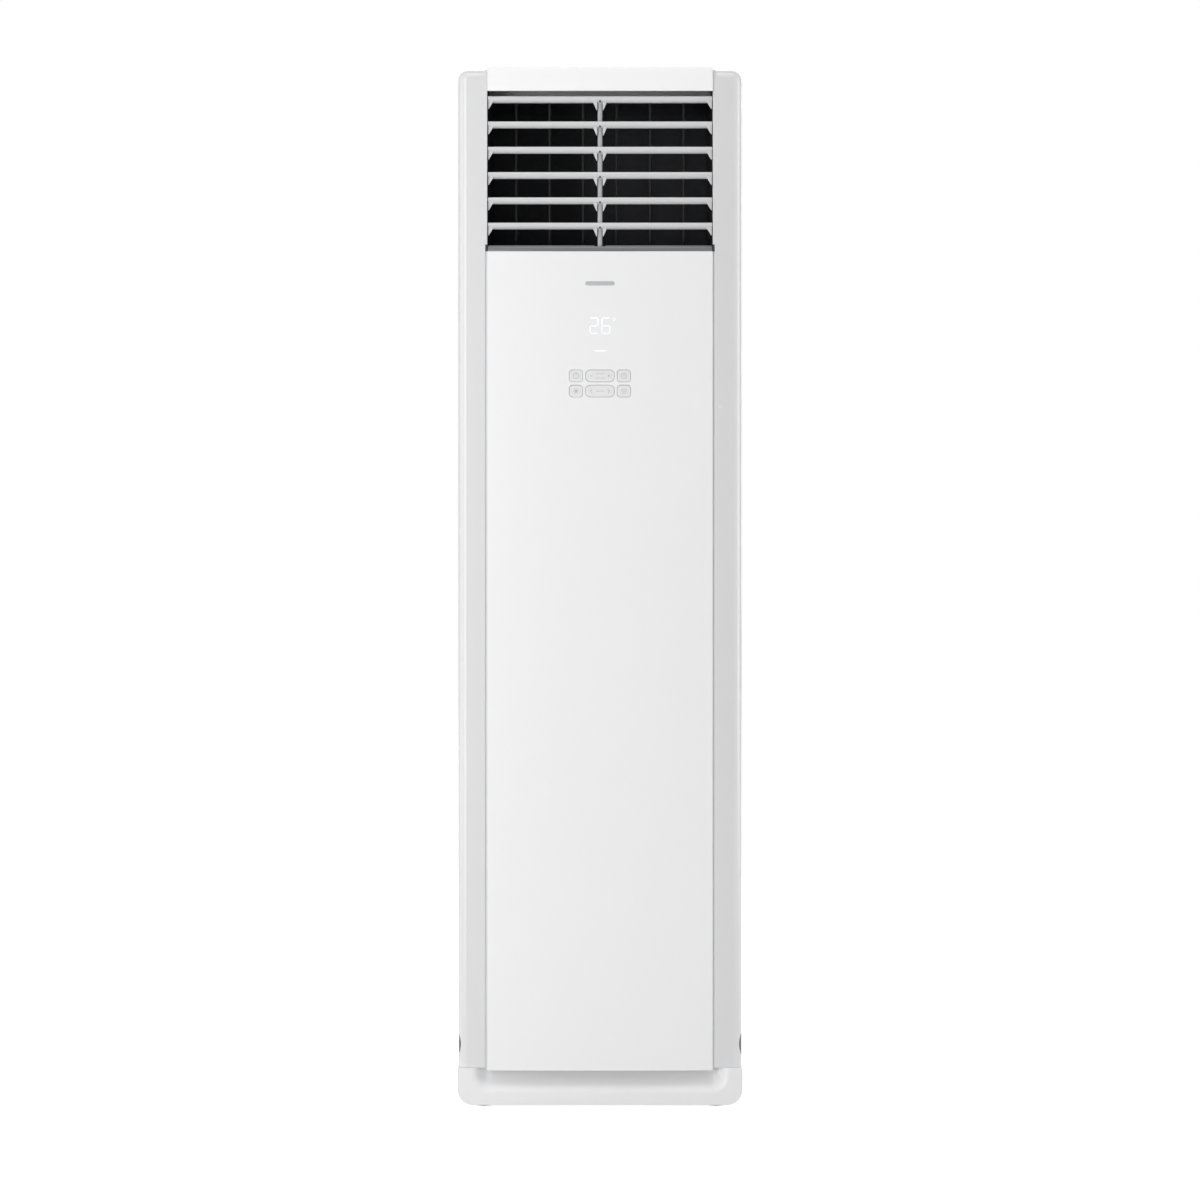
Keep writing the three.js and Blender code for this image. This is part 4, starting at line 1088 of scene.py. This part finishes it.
for side, word in SIDES:
    (_, y_low, z_low), (_, y_high, z_high) = box_mm(word + "_intake_grille")
    y_middle = (y_low + y_high) / 2
    outer = HALF_WIDTH * side
    back, slat_front, slat_back, hook_front, rail_back = [
        outer - side * depth for depth in (FACE, 0.8, FACE - 0.6, HOOK_DEPTH, RAIL_DEPTH)]
    pitch = (z_high - z_low - 2 * BORDER) / SLATS
    slat_z = z_low + BORDER + 1
    plate = block(word + "_grille_frame", (outer, y_low, z_low), (back, y_high, z_high))
    slats = []
    for y_from, y_to in ((y_low + BORDER, y_middle - HALF_BAR), (y_middle + HALF_BAR, y_high - BORDER)):
        opening = block("opening", (outer + side * 2, y_from, z_low + BORDER),
                        (back - side * 2, y_to, z_high - BORDER))
        carve(plate, round_edges(opening, 4, 4, along("x")))
        slat = block("slat", (slat_front, y_from - 1, slat_z), (slat_back, y_to + 1, slat_z + 1.8))
        shift_points(slat, at(x=slat_back), (0, 0, SLAT_LEAN))
        round_edges(slat, 0.7, 2, along("y", lambda place: near(place.x, slat_front)))
        slats.append(apply_modifier(
            slat, "ARRAY", count=SLATS, use_relative_offset=False, use_constant_offset=True,
            constant_offset_displace=(0, 0, pitch * MM)))
    rails = []
    for y_edge, inwards in ((y_low, 1), (y_high, -1)):
        rail = block("rail", (back, y_edge, z_low), (rail_back, y_edge + inwards * 3, z_high))
        hook = block("hook", (hook_front, y_edge, z_low), (rail_back, y_edge + inwards * 8, z_high))
        rails.append(soften(fuse(rail, hook), 0.4))
    stop = block("stop", (back, y_low, z_low), (rail_back, y_high, z_low + 3))
    grille = gather(word + "_grille", [soften(plate, 0.8, 3), *slats, *rails, stop])
    stand_for(grille, word + "_intake_grille", white_abs)

# %% [markdown]
# ## Air filters
# A filter is a frame of thin bars with a net between them. The frame is a plate whose bays are cut out one
# after another by rounded blocks, and the net is a thin sheet that fills the bays from the middle.

# %% Air filters
BAYS = 5
BAY_EDGE = 5
for side, word in SIDES:
    low_filter, high_filter = box_mm(word + "_air_filter")
    x_middle, y_middle, _ = middle_mm(word + "_air_filter")
    bay = (high_filter.z - low_filter.z) / BAYS
    lattice = block(word + "_filter_frame", low_filter, high_filter)
    for y_from, y_to in ((low_filter.y + 6, y_middle - 3), (y_middle + 3, high_filter.y - 6)):
        for number in range(BAYS):
            z_from = low_filter.z + number * bay + BAY_EDGE
            tool = block("bay_tool", (low_filter.x - 2, y_from, z_from),
                         (high_filter.x + 2, y_to, z_from + bay - 2 * BAY_EDGE))
            carve(lattice, round_edges(tool, 3, 3, along("x")))
    stand_for(soften(lattice, 0.8), word + "_air_filter", filter_frame)
    net = block(word + "_filter_net", (x_middle - 0.5, low_filter.y + 5, low_filter.z + 4),
                (x_middle + 0.5, high_filter.y - 5, high_filter.z - 4))
    fit_on(soften(net, 0.3), word + "_air_filter", filter_net)

# %% [markdown]
# ## Rear panel
# The back is one steel sheet, stiffened by shallow pressed ribs, which are faces inset and pushed in, and
# held by screws round its edge: pan heads with a cross slot, modelled once and copied.

# %% Rear panel
RIB_DEPTH = 2.2
RIBS = ((330, 420), (760, 850), (1190, 1280))
HOLES = {"pipe_grommet": 40.0, "cable_gland": 9.6}
rear_low, rear_high = box_mm("rear_panel")
rear = block("rear_sheet", rear_low, rear_high)
for rib in RIBS:
    for z in rib:
        cut_across(rear, "z", z)
for foot_z, head_z in RIBS:
    press(rear, lambda place, normal: normal.y > 0.9 and foot_z < place.z < head_z,
          (24, (0, 0, 0)), (3, (0, -RIB_DEPTH, 0)))
for node, radius in HOLES.items():
    hole = middle_mm(node)
    drill(rear, "Y", radius, 20, (hole.x, rear_low.y, hole.z), 48)
stand_for(soften(rear, 0.5, 2, 50), "rear_panel", white_powder)

SCREW_HEIGHT = 2.2
SCREW_X, SCREW_Z = -229, 100
SLOT_LONG, SLOT_WIDE = 2.3, 0.45
screw = rod("screw", "Y", 4.2, SCREW_HEIGHT, (SCREW_X, rear_high.y + SCREW_HEIGHT / 2, SCREW_Z), 24)
round_edges(screw, 1.6, 4, lambda place, way: place.y > rear_high.y + SCREW_HEIGHT - 0.1)
for reach_x, reach_z in ((SLOT_LONG, SLOT_WIDE), (SLOT_WIDE, SLOT_LONG)):
    carve(screw, block("slot_tool", (SCREW_X - reach_x, rear_high.y + 1.0, SCREW_Z - reach_z),
                       (SCREW_X + reach_x, rear_high.y + 4, SCREW_Z + reach_z)))
places = [(x, z) for x in (0, 458) for z in (0, 320, 640, 960, 1280, 1590) if x or z]
places += [(x, 1590) for x in (115, 229, 343)]
fit_on(gather("rear_screws", with_copies(screw, places)), "rear_panel", zinc_sheet, "galvanised_steel")

# %% [markdown]
# ## Grommet and gland
# The pipe hole has a rubber grommet with two round lips, and the cable enters through a gland with a
# hexagon nut. Lips or nut are fused on a cylinder, which is then bored.

# %% Grommet and gland
grommet_low, grommet_high = box_mm("pipe_grommet")
grommet = middle_mm("pipe_grommet")
rubber_ring = rod("pipe_grommet_ring", "Y", 39.2, grommet_high.y - grommet_low.y, grommet, 56)
for y_lip in (grommet_low.y + 1.5, grommet_high.y - 1.5):
    fuse(rubber_ring, rod("lip", "Y", 45, 3, (grommet.x, y_lip, grommet.z), 56))
drill(rubber_ring, "Y", 34, 30, grommet, 56)
stand_for(soften(rubber_ring, 1.1, 4, 50), "pipe_grommet", foot_rubber)

gland_low, gland_high = box_mm("cable_gland")
gland_middle = middle_mm("cable_gland")
gland = rod("cable_gland_body", "Y", 8.9, gland_high.y - gland_low.y, gland_middle, 32)
fuse(gland, rod("nut", "Y", 14, 3.0, (gland_middle.x, gland_high.y - 1.5, gland_middle.z), 6))
drill(gland, "Y", 4, 60, gland_middle, 24)
stand_for(soften(gland, 0.6, 3, 25), "cable_gland", black_pp)

# %% [markdown]
# ## Fan impeller
# The fan wheel is a moulded drum of forward curved blades between a dished back plate and a front ring. The
# plate's face is inset and pulled out twice. One blade is a strip, cut in four along its width and bent by
# moving the cuts, and its copies are turned round the shaft.

# %% Fan impeller
FAN_Z = 330
FAN_CENTRE = (0, 0, FAN_Z)
WHEEL = 128.0
BLADE_ROOT = 107.0
BLADE_TIP = WHEEL - 0.6
BLADES = 48
SHAFT_HOLE = 7.4
fan_low, fan_high = box_mm("fan_impeller")


def turned_copy(piece, turn):
    """A copy with its own mesh, turned round the fan's axis, which runs front to back."""
    copy = copy_of(piece, piece.name)
    middle = Vector(FAN_CENTRE) * MM
    copy.data.transform(
        Matrix.Translation(middle) @ Matrix.Rotation(turn, 4, "Y") @ Matrix.Translation(-middle))
    return copy


def turned_ring(piece, count):
    """Copies of a piece round the fan's axis in place of it, from half a step on."""
    copies = [turned_copy(piece, math.tau * (i + 0.5) / count) for i in range(count)]
    bpy.data.objects.remove(piece)
    return copies


plate = rod("wheel_plate", "Y", WHEEL, 2.5, (0, fan_high.y - 1.25, FAN_Z), 64)
press(plate, forwards, (34, (0, 0, 0)), (40, (0, -16, 0)), (12, (0, -12, 0)))
drill(plate, "Y", SHAFT_HOLE, 200, FAN_CENTRE)
wheel_ring = rod("wheel_ring", "Y", WHEEL, 3, (0, fan_low.y + 1.5, FAN_Z), 64)
drill(wheel_ring, "Y", BLADE_ROOT - 1, 20, (0, fan_low.y, FAN_Z), 64)
blade = block("wheel_blade", (BLADE_ROOT, fan_low.y + 2.5, FAN_Z - 0.7),
              (BLADE_TIP, fan_high.y - 2, FAN_Z + 0.7))
bends = {112: 0.8, 117: 2.8, 122: 6.2}
for x in bends:
    cut_across(blade, "x", x)
for x, lean in (*bends.items(), (BLADE_TIP, 11.5)):
    shift_points(blade, at(x=x), (0, 0, lean))
shift_points(blade, at(x=BLADE_TIP), (-0.9, 0, 0))
blades = [blade] + [turned_copy(blade, math.tau * i / BLADES) for i in range(1, BLADES)]
wheel = gather("fan_wheel", [soften(plate, 0.8, 2, 40), soften(wheel_ring, 0.8, 2, 40), *blades])
stand_for(wheel, "fan_impeller", black_pp)

# %% [markdown]
# ## Fan motor
# The motor is a drawn steel can with two rolled beads, a bearing boss, vents and a flange that screws to
# the scroll. Beads, boss and flange are softened discs fused on, and turned copies of one block cut the
# vents.

# %% Fan motor
motor_low, motor_high = box_mm("fan_motor")
can = rod("motor_can", "Y", 46, 56, (0, motor_high.y - 30.5, FAN_Z), 48)
round_edges(can, 7, 6, lambda place, way: near(place.y, motor_high.y - 2.5) and abs(way.y) < 0.1)
DISCS = (  # radius, thickness, place, sides, rim
    (47.2, 4.5, motor_low.y + 14, 48, (1.1, 3)), (47.2, 4.5, motor_high.y - 14, 48, (1.1, 3)),
    (15, 6, motor_high.y - 3.1, 32, (1.5, 3)), (58, 4, motor_low.y + 2, 48, (0.8, 2)))
for radius, thick, y, sides, rim in DISCS:
    fuse(can, soften(rod("disc", "Y", radius, thick, (0, y, FAN_Z), sides), *rim))
vent = block("vent", (-4, motor_low.y + 22, FAN_Z + 40), (4, motor_high.y - 20, FAN_Z + 50))
for tool in turned_ring(vent, 8):
    carve(can, tool)
screw = soften(rod("flange_screw", "Y", 4, 3, (52, motor_low.y + 5, FAN_Z), 16), 0.8)
for head in turned_ring(screw, 4):
    fuse(can, head)
drill(can, "Y", SHAFT_HOLE, 54, (0, motor_low.y + 26, FAN_Z))
stand_for(soften(can, 0.4, 2, 50), "fan_motor", plain_steel)

# %% [markdown]
# ## Step motors
# The small step motors that tilt the louvers and swing the vanes are flat steel cans with a short shaft or
# boss. A can is a cylinder with soft rims, and the boss a smaller one on its face.

# %% Step motors
STEPPERS = (  # node, axis, can's thickness, boss: radius, length, from which corner, how far
    ("louver_step_motor", 0, 18.5, 2.4, 7, 0, 3.6), ("vane_step_motor", 2, None, 5, 2, 1, -1))
for node, axis, thick, boss_radius, boss_length, corner, shift in STEPPERS:
    corners = box_mm(node)
    thick = thick or corners[1][axis] - corners[0][axis]
    can_place, boss_place = middle_mm(node), middle_mm(node)
    can_place[axis] = corners[1][axis] - thick / 2
    boss_place[axis] = corners[corner][axis] + shift
    can = rod(node + "_can", "XYZ"[axis], 13.9, thick, can_place, 40)
    boss = rod("boss", "XYZ"[axis], boss_radius, boss_length, boss_place, 20)
    stand_for(gather(node + "_can", [soften(can, 1.6, 4), soften(boss, 0.4)]), node, plain_steel)

# %% [markdown]
# ## Return bends
# The coil stays as it is, but the bends that join its tubes at the right end are copper, not aluminium. A
# bend is half of a torus: the whole ring is cut at the end plate, and its copies follow the coil's slant.

# %% Return bends
COIL_MIDDLE = Vector((197.4, 22.5, 1045))
COIL_RUN, COIL_RISE = 185, 650
COIL_WAY = Vector((0, -COIL_RUN, COIL_RISE)).normalized()
BEND_PITCH = 62
BENDS = 10
bpy.ops.object.select_all(action="DESELECT")
bpy.ops.mesh.primitive_torus_add(
    location=COIL_MIDDLE * MM, rotation=(math.atan2(COIL_RUN, COIL_RISE) - math.pi / 2, 0, 0),
    major_radius=11 * MM, minor_radius=4.2 * MM, major_segments=28, minor_segments=12)
bend = settle(bpy.context.object, "return_bend")
select(bend, "FACE", anything)
bpy.ops.mesh.bisect(plane_co=COIL_MIDDLE * MM, plane_no=(1, 0, 0), clear_inner=True, use_fill=True)
done()
shift_points(bend, anything, -(BENDS - 1) / 2 * BEND_PITCH * COIL_WAY)
bends = [bend] + [copy_of(bend, "return_bend", i * BEND_PITCH * COIL_WAY) for i in range(1, BENDS)]
fit_on(gather("coil_return_bends", bends), "evaporator_coil", copper_tube)

# %% [markdown]
# ## Control board
# The board is a thin plate with drilled corners. Each kind of component is modelled once, from a block or a
# cylinder with a pressed top, and copied to its places.

# %% Control board
BOARD = 1.6
DRILL_EDGE = 6
board_low, board_high = box_mm("control_board")
board_face = board_high.y - BOARD


def topped(piece, inset, drop):
    """Presses the middle of the face that looks forwards, and softens the rest."""
    front = min(v.co.y for v in piece.data.vertices) / MM
    press(piece, at(y=front), (inset, (0, drop, 0)))
    return soften(piece, 0.5)


plate = block("control_board_plate", (board_low.x, board_face, board_low.z), board_high)
for x in (board_low.x + DRILL_EDGE, board_high.x - DRILL_EDGE):
    for z in (board_low.z + DRILL_EDGE, board_high.z - DRILL_EDGE):
        drill(plate, "Y", 1.8, 8, (x, board_high.y, z), 16)
stand_for(soften(plate, 0.3, 1, 50), "control_board", board_lacquer)

relay = topped(block("relay", (-112, board_face - 15, 730), (-93, board_face, 758)), 1.5, 0.6)
capacitor = topped(rod("capacitor", "Y", 9, 21, (-48, board_face - 10.5, 745), 28), 2.5, 0.5)
chip = topped(block("chip", (-6, board_face - 2.4, 800), (12, board_face, 818)), 1.2, 0.2)
sink = block("heat_sink", (24, board_face - 18, 730), (52, board_face, 800))
for x in range(27, 52, 4):
    carve(sink, block("fin_gap", (x, board_face - 20, 728), (x + 2.2, board_face - 4, 802)))
for name, piece, places, finish in (
        ("control_relays", relay, ((24, 0), (0, 36), (24, 36), (0, 72)), relay_blue),
        ("control_capacitors", capacitor, ((0, 22), (22, 0), (22, 22)), black_pp),
        ("control_chips", chip, ((-30, 8), (-26, 32), (6, 34)), black_pp),
        ("control_heat_sink", soften(sink, 0.2, 1), (), zinc_sheet)):
    fit_on(gather(name, with_copies(piece, places)), "control_board", finish)

# %% [markdown]
# ## Terminal block and box cover
# The terminal block is a row of three wells with a slotted screw in each. The electrical box is closed by a
# cover of thin sheet, stiffened by one shallow panel pressed into its face.

# %% Terminal block and box cover
SCREW_RADIUS = 4
block_low, block_high = box_mm("terminal_block")
terminal = block("terminal_block_body", block_low, block_high)
screws = []
for x in (block_low.x + 10, block_low.x + 27.5, block_low.x + 45):
    carve(terminal, block("way", (x - 6.5, block_low.y - 2, block_low.z + 7),
                          (x + 6.5, block_low.y + 9, block_high.z + 2)))
    screw = rod("terminal_screw", "Y", SCREW_RADIUS, 4, (x, block_low.y + 7.5, block_low.z + 15), 20)
    slot = block("screw_slot", (x - SCREW_RADIUS - 1, block_low.y + 4, block_low.z + 14.5),
                 (x + SCREW_RADIUS + 1, block_low.y + 6.6, block_low.z + 15.5))
    screws.append(carve(topped(screw, 1.2, 0.5), slot))
stand_for(soften(terminal, 0.8, 3), "terminal_block", black_pp)
fit_on(gather("terminal_screws", screws), "terminal_block", plain_steel)

lid_plate = block("electrical_box_lid", *box_mm("electrical_box_cover"))
press(lid_plate, forwards, (12, (0, 0, 0)), (3, (0, 0.7, 0)))
stand_for(soften(lid_plate, 0.25), "electrical_box_cover", zinc_sheet)

# %% [markdown]
# ## Box of the imported model
# The finished model should fill the imported model's box and nothing more, so that box is written out at the
# end.

# %% Box
print("packed box:", cad_low, cad_high)
